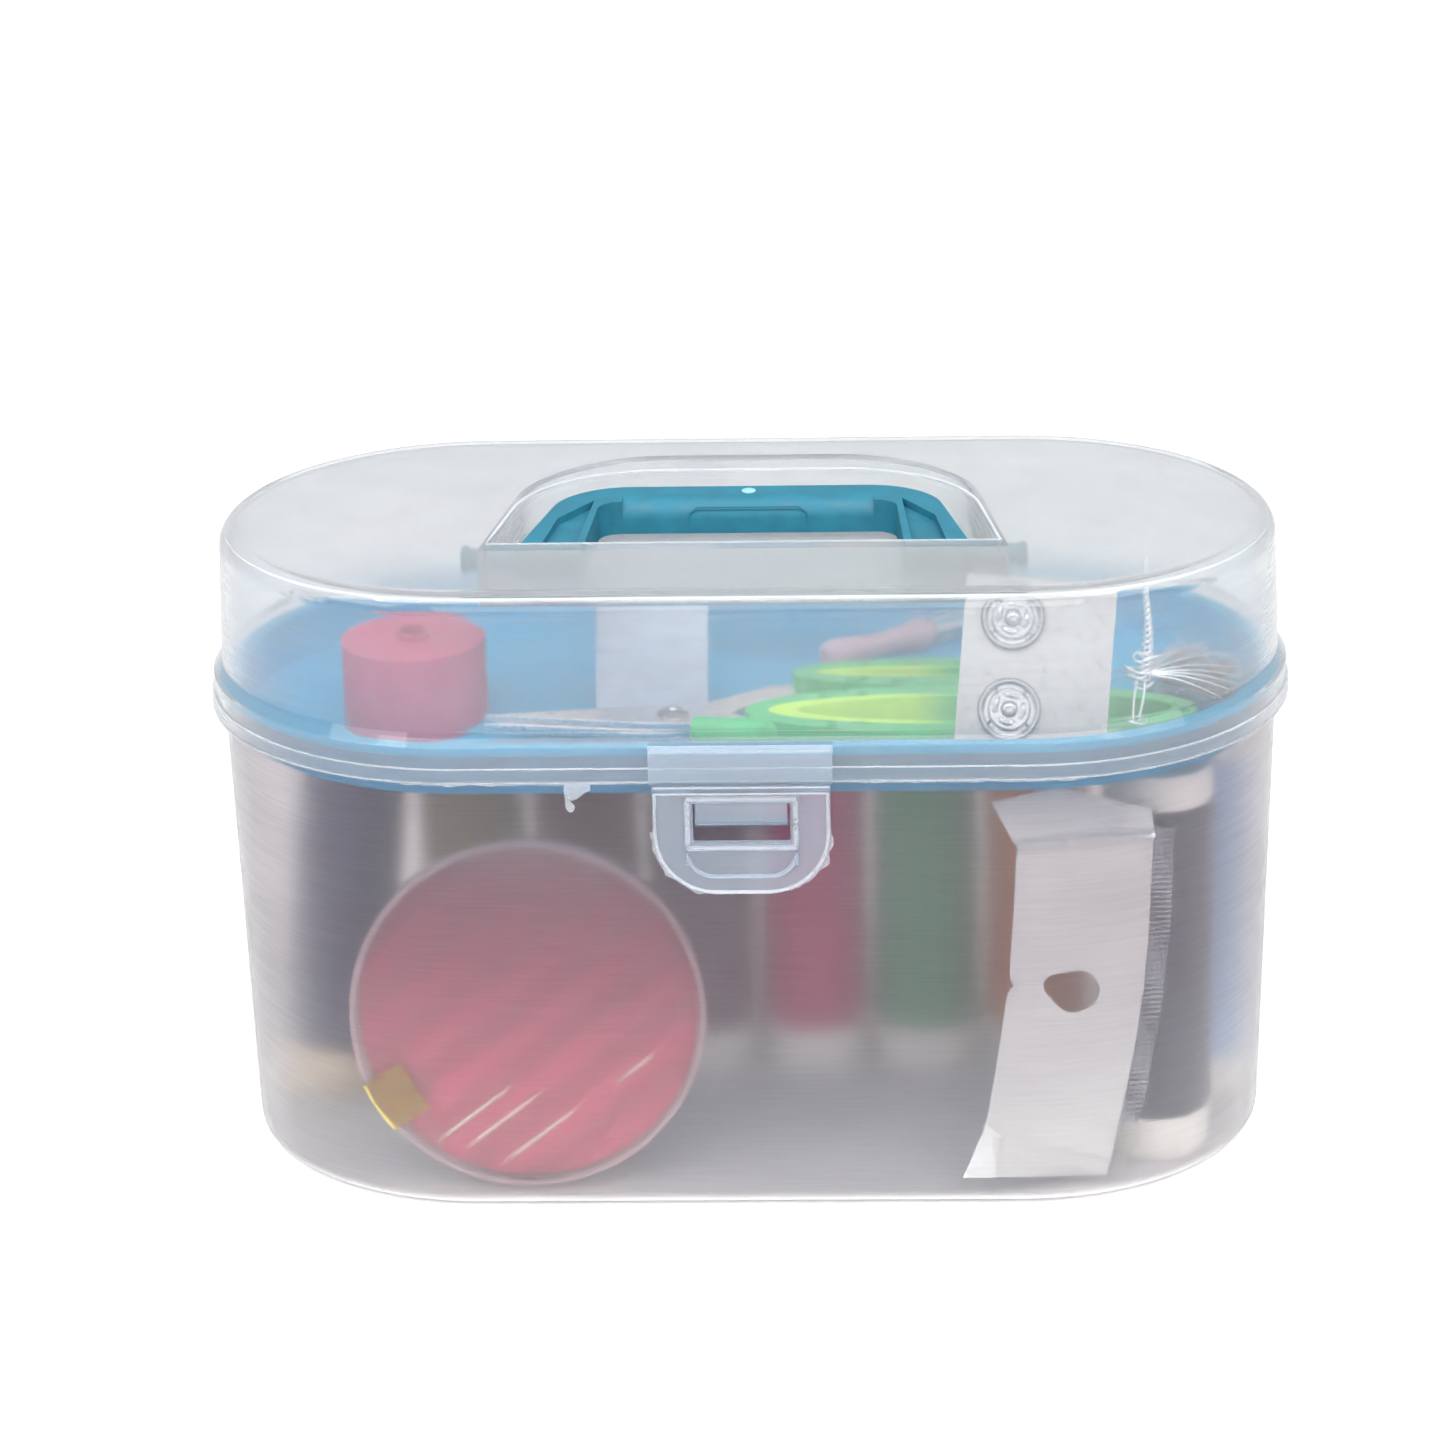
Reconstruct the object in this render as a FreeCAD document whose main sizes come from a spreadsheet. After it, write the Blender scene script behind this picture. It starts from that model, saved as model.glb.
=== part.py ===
import FreeCAD, Part
import os
import re

import Sketcher

# Racetrack sewing box: clear tub, lift-out tray, hinged lid with latch and folding handle, and its kit.

DOC = FreeCAD.newDocument("SewingBox")
SHEET = DOC.addObject("Spreadsheet::Sheet", "Sizes")
PARTS = []

# Millimetres and degrees. Heights are above the table, x runs along the box, -y is the latch side.
SIZES = {
    # plan: straight front and back joined by half-round ends
    "half_straight": 49.1,
    # gap under loose pieces, clearance round pins, and how far a cutter runs past a face
    "rest_gap": 0.05,
    "running_clearance": 0.06,
    "overrun": 1.0,
    # tub
    "tub_height": 88.2,
    "tub_base_radius": 44.6,
    "tub_rim_radius": 46.8,
    "tub_wall": 1.5,
    "tub_floor": 1.2,
    "tub_foot_fillet": 3.0,
    "catch_width": 16.2,
    "catch_lip": 76.4,
    "catch_top": 83.2,
    "catch_reach": 50.7,
    "catch_edge": 0.8,
    # rear hinge: knuckles on the tub, pins on the lid
    "hinge_back": 52.2,
    "hinge_height": 83.0,
    "knuckle_radius": 2.6,
    "hinge_pin_radius": 1.3,
    "hinge_offset": 28.0,
    "ear_width": 6.0,
    "ear_foot": 76.0,
    "ear_top": 82.4,
    "lug_width": 2.6,
    "lug_gap": 0.3,
    "lug_top": 89.3,
    # lid
    "lid_top": 117.4,
    "lid_wall": 1.5,
    "lid_top_radius": 45.9,
    "lid_neck_radius": 46.85,
    "lid_neck_height": 92.6,
    "lid_neck_ceiling": 92.2,
    "skirt_radius": 48.4,
    "skirt_wall": 1.0,
    "skirt_top": 90.2,
    "skirt_ceiling": 90.0,
    "lip_radius": 48.9,
    "lip_top": 86.3,
    "lip_chamfer": 0.4,
    "lid_bottom": 83.8,
    "lid_top_fillet": 3.8,
    # recess for the handle in the lid's top
    "recess_half_width": 45.5,
    "recess_front": 18.0,
    "recess_back": 32.5,
    "recess_back_half": 37.1,
    "recess_corner": 26.0,
    "recess_depth": 9.2,
    # handle
    "handle_pivot_front": 13.5,
    "handle_pivot_height": 112.3,
    "handle_bottom": 109.3,
    "handle_thick": 6.2,
    "handle_arm_end": 17.2,
    "handle_half_front": 41.0,
    "handle_half_back": 32.9,
    "handle_back": 19.7,
    "handle_corner": 14.0,
    "grip_front": 11.0,
    "grip_round": 3.6,
    "grip_shoulder": 4.1,
    "opening_half_front": 28.8,
    "opening_half_back": 27.0,
    "opening_corner": 4.0,
    "arm_end_round": 2.9,
    "panel_depth": 1.4,
    "panel_rim": 1.1,
    "panel_end": 12.5,
    "panel_outer_front": 36.1,
    "panel_outer_back": 34.1,
    "panel_bend": 2.0,
    "panel_corner": 12.0,
    "handle_pin_radius": 2.0,
    "handle_pin_root": 38.0,
    "handle_pin_reach": 50.4,
    # latch
    "latch_half_width": 15.5,
    "latch_plate_top": 91.0,
    "latch_plate_half": 16.0,
    "latch_plate_bevel": 1.1,
    "latch_face": 50.6,
    "latch_thick": 1.6,
    "latch_fold": 84.2,
    "latch_fold_gap": 0.15,
    "latch_bottom": 63.7,
    "latch_corner": 11.0,
    "window_half_width": 8.5,
    "window_top": 80.7,
    "window_bottom": 73.2,
    "bead_height": 0.5,
    "bead_width": 1.5,
    # tray
    "tray_floor_height": 80.0,
    "tray_wall": 1.3,
    "tray_base_radius": 44.3,
    "tray_pan_radius": 44.9,
    "tray_flange_radius": 46.9,
    "tray_flange_thick": 1.4,
    # thread spools
    "spool_radius": 9.9,
    "spool_core_radius": 4.5,
    "spool_chamfer": 0.6,
    "spool_height": 75.5,
    "spool_foot": 8.5,
    "spool_head": 7.0,
    "thread_radius": 9.7,
    # needle case, a flat round case leaning back with its foot near the front wall
    "needle_case_radius": 32.2,
    "needle_case_thick": 5.0,
    "needle_case_wall": 1.0,
    "needle_case_x": -39.9,
    "needle_case_foot": 40.4,
    "needle_case_lean": 9.0,
    "foil_thick": 0.3,
    "foil_depth": 1.9,
    "foil_clearance": 0.3,
    "needle_radius": 0.35,
    "needle_long": 17.5,
    "needle_short": 9.0,
    "needle_slant": 37.0,
    "seal_turn": 148.0,
    "seal_length": 10.0,
    "seal_lap": 8.0,
    "seal_gap": 0.05,
    "seal_thick": 0.25,
    # header card and film of the notions bag
    "header_x": 56.0,
    "header_y": -40.0,
    "header_z": 36.7,
    "header_turn": 12.0,
    "header_roll": 6.6,
    "header_tip": 1.5,
    "header_width": 24.6,
    "header_height": 66.0,
    "header_thick": 0.5,
    "header_flap": 9.0,
    "header_fold_lap": 0.3,
    "header_fold_lean": 24.0,
    "header_hole_radius": 4.6,
    "header_hole_across": -0.6,
    "header_hole_up": 3.6,
    "film_width": 4.0,
    "film_height": 58.0,
    "film_thick": 0.3,
    "film_gap": 0.6,
    "film_behind": 1.0,
    "film_foot": 10.0,
    # tape measure
    "tape_radius": 13.3,
    "tape_core_radius": 2.2,
    "tape_width": 15.0,
    "tape_x": -60.5,
    "tape_y": -7.1,
    "tape_tab_length": 9.0,
    "tape_tab_front": 1.0,
    "tape_tab_thick": 0.6,
    "tape_tab_lift": 0.05,
    # cards in the tray
    "card_thick": 0.6,
    "snap_card_x": 49.8,
    "snap_card_foot": -40.4,
    "snap_card_lean": 27.0,
    "snap_card_roll": 5.0,
    "snap_card_width": 26.5,
    "snap_card_height": 33.0,
    "stud_radius": 5.6,
    "stud_nub_radius": 1.9,
    "stud_plate": 0.7,
    "stud_high": 1.8,
    "needle_card_x": -17.5,
    "needle_card_foot": -8.0,
    "needle_card_lean": 30.0,
    "needle_card_roll": 0.0,
    "needle_card_width": 20.5,
    "needle_card_height": 20.0,
    # seam ripper
    "ripper_x": 13.5,
    "ripper_y": 12.5,
    "ripper_turn": 36.0,
    "ripper_radius": 3.0,
    "ripper_step": 0.4,
    "ripper_handle": 24.0,
    "ripper_cap": 22.0,
    # scissors
    "scissor_pivot_x": -13.0,
    "scissor_pivot_y": -20.0,
    "screw_radius": 1.3,
    "screw_head_radius": 2.9,
    "screw_head_high": 0.8,
    "screw_tail_radius": 2.2,
    "screw_tail_high": 0.6,
    "screw_gap": 0.1,
    "blade_thick": 1.1,
    "blade_gap": 0.1,
    "blade_height": 84.6,
    "bow_foot": 81.5,
    "bow_thick": 6.0,
    "bow_rim": 4.2,
    "front_bow_x": 40.0,
    "front_bow_y": -22.5,
    "front_bow_long": 40.0,
    "front_bow_wide": 12.0,
    "rear_bow_x": 34.0,
    "rear_bow_y": -3.2,
    "rear_bow_long": 26.0,
    "rear_bow_wide": 7.0,
    "crescent_reach": 5.0,
    "crescent_rim": 1.2,
    # knotted cellophane bag with buttons
    "bag_x": 81.0,
    "bag_y": -2.0,
    "bag_long": 13.0,
    "bag_wide": 10.5,
    "bag_high": 4.4,
    "bag_film": 0.5,
    "bag_neck_left": 8.5,
    "bag_neck_front": 4.0,
    "bag_neck_up": 1.2,
    "bag_neck_radius": 2.4,
    "bag_neck_tip": 0.7,
    "bag_neck_height": 22.0,
    "button_radius": 3.4,
    "button_thick": 1.6,
}

# thread colour: where the spool stands and how many degrees it leans to the right
SPOOLS = {
    "navy": (-80.6, 8.6, 5.6),
    "olive": (-53.3, 16.5, 0.0),
    "brown": (-32.0, 17.5, 0.0),
    "grey": (-10.7, 18.5, 0.0),
    "magenta": (10.6, 19.5, 0.0),
    "green": (31.9, 19.5, 0.0),
    "orange": (53.2, 19.5, 0.0),
    "black": (73.4, -20.0, 0.0),
    "light_blue": (82.0, 4.6, 0.0),
}
for colour, place in SPOOLS.items():
    for size, number in zip(("spool_x_", "spool_y_", "spool_lean_"), place):
        SIZES[size + colour] = number

# needles: eye end across and up from the middle of the case, and the length
NEEDLES = [
    (-17.0, -24.0, "needle_long"),
    (-11.5, -25.0, "needle_long"),
    (-5.0, -28.0, "needle_long"),
    (15.5, -13.2, "needle_short"),
]
# press studs: across and up from the middle of their card's foot
PRESS_STUDS = {"lower": (-4.0, 10.2), "upper": (-4.6, 26.2)}
# buttons: across and along from the middle of their bag
BUTTONS = [(2.8, -6.0), (-3.4, 0.2), (4.6, 3.4), (-0.6, 8.2)]
# scissor blades in plan, from the screw: point, belly, tang
FRONT_BLADE = [
    (-34.0, 0.6),
    (-6.0, 4.6),
    (4.0, 4.2),
    (13.0, -1.0),
    (18.5, -1.2),
    (18.5, -3.8),
    (10.0, -4.6),
    (-4.0, -4.2),
]
REAR_BLADE = [
    (-34.0, -0.6),
    (-6.0, -4.4),
    (4.0, -4.2),
    (12.0, 6.5),
    (24.5, 15.2),
    (24.5, 18.4),
    (17.0, 17.6),
    (6.0, 9.5),
    (-3.0, 4.4),
]
TRAY_FLOOR = "tray_floor_height + tray_wall"
ALONG_X = FreeCAD.Vector(1, 0, 0)
ALONG_Y = FreeCAD.Vector(0, 1, 0)
ALONG_Z = FreeCAD.Vector(0, 0, 1)


def fill_sheet():
    """Every size as a labelled cell, so that expressions read it by name."""
    for row, (alias, number) in enumerate(SIZES.items(), start=1):
        SHEET.set(f"A{row}", alias)
        SHEET.set(f"B{row}", str(number))
        SHEET.setAlias(f"B{row}", alias)
    DOC.recompute()


def value(expression):
    """The number that an expression of sheet aliases gives."""
    return float(SHEET.evalExpression(expression))


def bound(expression):
    """The same expression as another object writes it, with the sheet's name before each alias."""

    def full_name(word):
        return "Sizes." + word.group() if word.group() in SIZES else word.group()

    return re.sub(r"[a-z]\w+", full_name, expression)


def bind(item, prop, expression):
    """Tie one property to the sheet."""
    item.setExpression(prop, bound(expression))


def new_part(kind, label):
    """A document object that is one piece of the box, exported under its label."""
    item = DOC.addObject(kind, label)
    item.Label = label
    PARTS.append(item)
    return item


def origin_plane(body, role):
    """One of a body's own three planes."""
    return [plane for plane in body.Origin.OriginFeatures if plane.Role == role][0]


def new_sketch(body, name, plane, offset=None):
    """An empty sketch on one of the body's own planes, moved along its normal by offset."""
    outline = body.newObject("Sketcher::SketchObject", name)
    outline.AttachmentSupport = [(origin_plane(body, plane), "")]
    outline.MapMode = "FlatFace"
    if offset is not None:
        bind(outline, "AttachmentOffset.Base.z", offset)
    return outline


def hold(outline, constraint, name, words):
    """Add a named constraint whose size is a sheet expression."""
    outline.renameConstraint(outline.addConstraint(constraint), name)
    outline.setExpression("Constraints." + name, bound(words))


def pin_point(outline, edge, end, across, up):
    """Hold one end of an edge at a pair of sheet expressions."""
    for kind, words in (("DistanceX", across), ("DistanceY", up)):
        constraint = Sketcher.Constraint(kind, -1, 1, edge, end, value(words))
        hold(outline, constraint, f"{kind}_{edge}_{end}", words)


def draw_polygon(outline, corners):
    """A closed outline whose corners are pairs of sheet expressions."""
    first = outline.GeometryCount
    points = [FreeCAD.Vector(value(across), value(up), 0) for across, up in corners]
    for start, end in zip(points, points[1:] + points[:1]):
        outline.addGeometry(Part.LineSegment(start, end), False)
    for i, (across, up) in enumerate(corners):
        following = first + (i + 1) % len(corners)
        outline.addConstraint(Sketcher.Constraint("Coincident", first + i, 2, following, 1))
        pin_point(outline, first + i, 1, across, up)


def draw_circle(outline, across, up, radius):
    """A circle whose centre and radius are sheet expressions."""
    centre = FreeCAD.Vector(value(across), value(up), 0)
    normal = FreeCAD.Vector(0, 0, 1)
    edge = outline.addGeometry(Part.Circle(centre, normal, value(radius)), False)
    pin_point(outline, edge, 3, across, up)
    hold(outline, Sketcher.Constraint("Radius", edge, value(radius)), f"Radius_{edge}", radius)


def polygon(body, name, plane, corners, offset=None, rounded=(), radius=None):
    """A sketch that holds one polygon, with the numbered corners rounded."""
    outline = new_sketch(body, name, plane, offset)
    draw_polygon(outline, corners)
    for corner in rounded:
        arc = outline.GeometryCount
        outline.fillet(corner - 1, 2, value(radius), True, True)
        hold(outline, Sketcher.Constraint("Radius", arc, value(radius)), f"Radius_{arc}", radius)
    return outline


def circle(body, name, plane, across, up, radius, offset=None):
    """A sketch that holds one circle."""
    outline = new_sketch(body, name, plane, offset)
    draw_circle(outline, across, up, radius)
    return outline


def pad(body, outline, length, both_ways=False, backwards=False):
    """Material pushed out of a sketch."""
    feature = body.newObject("PartDesign::Pad", outline.Name + "_pad")
    feature.Profile = outline
    feature.SideType = "Symmetric" if both_ways else "One side"
    feature.Reversed = backwards
    bind(feature, "Length", length)
    body.Tip = feature
    DOC.recompute()
    return feature


def pocket(body, outline, length, both_ways=False, backwards=False):
    """Material taken away along a sketch's normal; the body has to lose volume."""
    before = body.Shape.Volume
    feature = body.newObject("PartDesign::Pocket", outline.Name + "_pocket")
    feature.Profile = outline
    feature.SideType = "Symmetric" if both_ways else "One side"
    feature.Reversed = backwards
    bind(feature, "Length", length)
    body.Tip = feature
    DOC.recompute()
    if not body.Shape.Volume < before:
        raise RuntimeError(feature.Name + " cuts nothing")
    return feature


def mirror(body, feature, role):
    """A feature repeated on the other side of one of the body's planes."""
    copy = body.newObject("PartDesign::Mirrored", feature.Name + "_mirrored")
    copy.Originals = [feature]
    copy.MirrorPlane = (origin_plane(body, role), [""])
    body.Tip = copy
    DOC.recompute()
    return copy


def round_edges(body, name, radius, chosen):
    """A fillet on every edge that chosen(edge) accepts."""
    base = body.Tip
    names = [f"Edge{i}" for i, edge in enumerate(base.Shape.Edges, start=1) if chosen(edge)]
    if not names:
        raise RuntimeError(name + " finds no edge")
    feature = body.newObject("PartDesign::Fillet", name)
    feature.Base = (base, names)
    bind(feature, "Radius", radius)
    body.Tip = feature
    DOC.recompute()
    return feature


def level_edge(height, reach, tolerance=0.05):
    """Chooses edges that lie at one height and come no nearer to the plan's spine than reach."""

    def chosen(edge):
        box = edge.BoundBox
        if abs(box.ZMin - height) > tolerance or abs(box.ZMax - height) > tolerance:
            return False
        middle = edge.valueAt((edge.FirstParameter + edge.LastParameter) / 2)
        beyond = max(abs(middle.x) - value("half_straight"), 0.0)
        return abs((beyond**2 + middle.y**2) ** 0.5 - reach) < 0.3

    return chosen


def racetrack(label, section):
    """A piece with one cross-section, given as (radius, height), all round the racetrack plan."""
    body = new_part("PartDesign::Body", label)
    front = polygon(body, label + "_front", "YZ_Plane", [("-(" + r + ")", z) for r, z in section])
    straight = pad(body, front, "2 * half_straight", both_ways=True)
    end = new_sketch(body, label + "_end", "XZ_Plane")
    draw_polygon(end, [("half_straight + " + r, z) for r, z in section])
    axis_foot = FreeCAD.Vector(value("half_straight"), 0, 0)
    axis = end.addGeometry(Part.LineSegment(axis_foot, axis_foot + FreeCAD.Vector(0, 10, 0)), True)
    pin_point(end, axis, 1, "half_straight", "0 * half_straight")
    pin_point(end, axis, 2, "half_straight", "10")
    half_round = body.newObject("PartDesign::Revolution", label + "_half_round")
    half_round.Profile = end
    half_round.ReferenceAxis = (end, ["Axis0"])
    half_round.Angle = 180.0
    half_round.Midplane = True
    body.Tip = half_round
    DOC.recompute()
    mirror(body, half_round, "YZ_Plane")
    mirror(body, straight, "XZ_Plane")
    return body


def make_tub():
    """Tapered clear tub with its front catch and two rear knuckles."""
    slope = "(tub_rim_radius - tub_base_radius) / tub_height"
    tub = racetrack(
        "tub",
        [
            ("0 * tub_wall", "0 * tub_wall"),
            ("tub_base_radius", "0 * tub_wall"),
            ("tub_rim_radius", "tub_height"),
            ("tub_rim_radius - tub_wall", "tub_height"),
            (f"tub_base_radius - tub_wall + tub_floor * {slope}", "tub_floor"),
            ("0 * tub_wall", "tub_floor"),
        ],
    )
    round_edges(tub, "tub_foot", "tub_foot_fillet", level_edge(0.0, value("tub_base_radius")))
    buried = "tub_rim_radius - tub_wall / 2"
    wedge = polygon(
        tub,
        "catch",
        "YZ_Plane",
        [
            (f"-({buried})", "catch_top"),
            (f"-({buried})", "catch_lip"),
            ("-catch_reach", "catch_lip"),
            ("-catch_reach", "catch_lip + catch_edge"),
        ],
    )
    pad(tub, wedge, "catch_width", both_ways=True)
    web = polygon(
        tub,
        "ear",
        "YZ_Plane",
        [
            (buried, "ear_foot"),
            ("hinge_back", "hinge_height - knuckle_radius"),
            ("hinge_back", "hinge_height"),
            ("hinge_back - knuckle_radius", "hinge_height"),
            (buried, "ear_top"),
        ],
        "hinge_offset",
    )
    mirror(tub, pad(tub, web, "ear_width", both_ways=True), "YZ_Plane")
    knuckle = circle(
        tub, "knuckle", "YZ_Plane", "hinge_back", "hinge_height", "knuckle_radius", "hinge_offset"
    )
    mirror(tub, pad(tub, knuckle, "ear_width", both_ways=True), "YZ_Plane")
    bore = circle(
        tub,
        "bore",
        "YZ_Plane",
        "hinge_back",
        "hinge_height",
        "hinge_pin_radius + running_clearance",
    )
    pocket(tub, bore, "2 * hinge_offset + 2 * ear_width", both_ways=True)
    return tub


def make_tray():
    """Shallow tray whose flange rests on the tub's rim."""
    inside = "tray_pan_radius - tray_wall"
    tray = racetrack(
        "tray",
        [
            ("0 * tray_wall", "tray_floor_height"),
            ("tray_base_radius", "tray_floor_height"),
            ("tray_pan_radius", "tub_height"),
            ("tray_flange_radius", "tub_height"),
            ("tray_flange_radius", "tub_height + tray_flange_thick"),
            (inside, "tub_height + tray_flange_thick"),
            ("tray_base_radius - tray_wall", "tray_floor_height + tray_wall"),
            ("0 * tray_wall", "tray_floor_height + tray_wall"),
        ],
    )
    foot = level_edge(value("tray_floor_height"), value("tray_base_radius"))
    round_edges(tray, "tray_foot", "tray_wall", foot)
    return tray


def recess_outline(lid, name, grow):
    """The handle recess in plan, grown by a wall, drawn at the lid's top."""
    corners = [
        (f"recess_half_width + {grow}", f"-(recess_front + {grow})"),
        (f"recess_back_half + {grow}", f"recess_back + {grow}"),
        (f"-(recess_back_half + {grow})", f"recess_back + {grow}"),
        (f"-(recess_half_width + {grow})", f"-(recess_front + {grow})"),
    ]
    radius = f"recess_corner + {grow}"
    return polygon(lid, name, "XY_Plane", corners, "lid_top", rounded=(1, 2), radius=radius)


def make_lid():
    """Clear domed lid: handle recess, flared skirt, latch plate and hinge lugs with their pins."""
    lid = racetrack(
        "lid",
        [
            ("0 * lid_wall", "lid_top"),
            ("lid_top_radius", "lid_top"),
            ("lid_neck_radius", "lid_neck_height"),
            ("skirt_radius", "skirt_top"),
            ("skirt_radius", "lip_top + lip_chamfer"),
            ("lip_radius", "lip_top"),
            ("lip_radius", "lid_bottom"),
            ("skirt_radius - skirt_wall", "lid_bottom"),
            ("skirt_radius - skirt_wall", "skirt_ceiling"),
            ("lid_neck_radius - lid_wall", "lid_neck_ceiling"),
            ("lid_top_radius - lid_wall", "lid_top - lid_wall"),
            ("0 * lid_wall", "lid_top - lid_wall"),
        ],
    )
    top = level_edge(value("lid_top"), value("lid_top_radius"))
    round_edges(lid, "lid_shoulder", "lid_top_fillet", top)
    ceiling = level_edge(value("lid_top - lid_wall"), value("lid_top_radius - lid_wall"))
    round_edges(lid, "lid_inner_shoulder", "lid_top_fillet - lid_wall", ceiling)
    well = recess_outline(lid, "well", "lid_wall")
    pad(lid, well, "recess_depth + lid_wall", backwards=True)
    hollow = recess_outline(lid, "hollow", "0 * lid_wall")
    pocket(lid, hollow, "recess_depth")
    bore = circle(
        lid,
        "handle_bore",
        "YZ_Plane",
        "-handle_pivot_front",
        "handle_pivot_height",
        "handle_pin_radius + running_clearance",
    )
    pocket(lid, bore, "2 * recess_half_width + 4 * lid_wall", both_ways=True)
    plate = polygon(
        lid,
        "latch_plate",
        "YZ_Plane",
        [
            ("-(skirt_radius - skirt_wall / 2)", "latch_fold"),
            ("-latch_face", "latch_fold"),
            ("-latch_face", "latch_plate_top - latch_plate_bevel"),
            ("-(latch_face - latch_plate_bevel)", "latch_plate_top"),
            ("-(skirt_radius - skirt_wall / 2)", "latch_plate_top"),
        ],
    )
    pad(lid, plate, "2 * latch_plate_half", both_ways=True)
    add_hinge_lugs(lid)
    return lid


def add_hinge_lugs(lid):
    """Two lugs beside each knuckle of the tub, joined by the pin that runs in its bore."""
    buried = "skirt_radius - skirt_wall / 2"
    reach = "ear_width / 2 + lug_gap + lug_width / 2"
    for side, place in (("near", f"hinge_offset - ({reach})"), ("far", f"hinge_offset + {reach}")):
        web = polygon(
            lid,
            side + "_lug",
            "YZ_Plane",
            [
                (buried, "lid_bottom"),
                ("hinge_back - knuckle_radius", "hinge_height"),
                ("hinge_back", "hinge_height"),
                ("hinge_back", "hinge_height + knuckle_radius"),
                (buried, "lug_top"),
            ],
            place,
        )
        mirror(lid, pad(lid, web, "lug_width", both_ways=True), "YZ_Plane")
        eye = circle(
            lid, side + "_eye", "YZ_Plane", "hinge_back", "hinge_height", "knuckle_radius", place
        )
        mirror(lid, pad(lid, eye, "lug_width", both_ways=True), "YZ_Plane")
    pin = circle(
        lid, "hinge_pin", "YZ_Plane", "hinge_back", "hinge_height", "hinge_pin_radius", "hinge_offset"
    )
    mirror(lid, pad(lid, pin, f"2 * ({reach})", both_ways=True), "YZ_Plane")


def make_handle():
    """Folding handle: rounded grip, two panelled arms and a pin at the end of each."""
    handle = new_part("PartDesign::Body", "handle")
    outer = polygon(
        handle,
        "handle_outer",
        "XY_Plane",
        [
            ("handle_half_front", "-handle_arm_end"),
            ("handle_half_back", "handle_back"),
            ("-handle_half_back", "handle_back"),
            ("-handle_half_front", "-handle_arm_end"),
        ],
        "handle_bottom",
        rounded=(1, 2),
        radius="handle_corner",
    )
    pad(handle, outer, "handle_thick")
    gap = polygon(
        handle,
        "handle_opening",
        "XY_Plane",
        [
            ("opening_half_front", "-handle_arm_end - overrun"),
            ("opening_half_back", "grip_front"),
            ("-opening_half_back", "grip_front"),
            ("-opening_half_front", "-handle_arm_end - overrun"),
        ],
        "handle_bottom + handle_thick",
        rounded=(1, 2),
        radius="opening_corner",
    )
    pocket(handle, gap, "handle_thick")
    top = "handle_bottom + handle_thick"
    shoulder = polygon(
        handle,
        "grip_shoulder",
        "YZ_Plane",
        [
            ("grip_front", f"{top} - grip_shoulder"),
            ("grip_front", top),
            ("grip_front + grip_shoulder", top),
            ("grip_front + grip_shoulder", f"{top} + overrun"),
            ("grip_front - overrun", f"{top} + overrun"),
            ("grip_front - overrun", f"{top} - grip_shoulder"),
        ],
        rounded=(1,),
        radius="grip_round",
    )
    pocket(handle, shoulder, "2 * (opening_half_back - opening_corner)", both_ways=True)

    def arm_end_edge(edge):
        box = edge.BoundBox
        at_end = abs(box.YMin + value("handle_arm_end")) < 0.05 and box.YLength < 0.05
        return at_end and box.ZLength < 0.05 and box.XLength > 2.0

    round_edges(handle, "arm_ends", "arm_end_round", arm_end_edge)
    for side, sign in (("left", "-1"), ("right", "1")):
        panel = polygon(
            handle,
            side + "_panel",
            "XY_Plane",
            [
                (f"{sign} * (opening_half_front + panel_rim)", "-panel_end"),
                (f"{sign} * panel_outer_front", "-panel_end"),
                (f"{sign} * panel_outer_back", "panel_bend"),
                (f"{sign} * (opening_half_back + panel_rim)", "panel_corner"),
            ],
            "handle_bottom + handle_thick",
        )
        pocket(handle, panel, "panel_depth")
    pin = circle(
        handle,
        "handle_pin",
        "YZ_Plane",
        "-handle_pivot_front",
        "handle_pivot_height",
        "handle_pin_radius",
        "handle_pin_root",
    )
    mirror(handle, pad(handle, pin, "handle_pin_reach - handle_pin_root"), "YZ_Plane")
    return handle


def make_latch():
    """Latch flap with rounded foot and a framed window that hooks over the tub's catch."""
    latch = new_part("PartDesign::Body", "latch")
    flap = polygon(
        latch,
        "latch_flap",
        "XZ_Plane",
        [
            ("latch_half_width", "latch_fold - latch_fold_gap"),
            ("-latch_half_width", "latch_fold - latch_fold_gap"),
            ("-latch_half_width", "latch_bottom"),
            ("latch_half_width", "latch_bottom"),
        ],
        "latch_face - latch_thick",
        rounded=(2, 3),
        radius="latch_corner",
    )
    pad(latch, flap, "latch_thick")
    frame = polygon(
        latch,
        "window_frame",
        "XZ_Plane",
        [
            ("window_half_width + bead_width", "window_top + bead_width"),
            ("-(window_half_width + bead_width)", "window_top + bead_width"),
            ("-(window_half_width + bead_width)", "window_bottom - bead_width"),
            ("window_half_width + bead_width", "window_bottom - bead_width"),
        ],
        "latch_face",
    )
    pad(latch, frame, "bead_height")
    window = polygon(
        latch,
        "window",
        "XZ_Plane",
        [
            ("window_half_width", "window_top"),
            ("-window_half_width", "window_top"),
            ("-window_half_width", "window_bottom"),
            ("window_half_width", "window_bottom"),
        ],
        "latch_face + bead_height",
    )
    pocket(latch, window, "latch_thick + bead_height + overrun")
    return latch


def turned(label, section):
    """A body turned about its own upright axis from (radius, height) corners."""
    body = new_part("PartDesign::Body", label)
    profile = polygon(body, label + "_section", "XZ_Plane", section)
    feature = body.newObject("PartDesign::Revolution", label + "_turned")
    feature.Profile = profile
    feature.ReferenceAxis = (profile, ["V_Axis"])
    feature.Angle = 360.0
    body.Tip = feature
    return body


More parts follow.
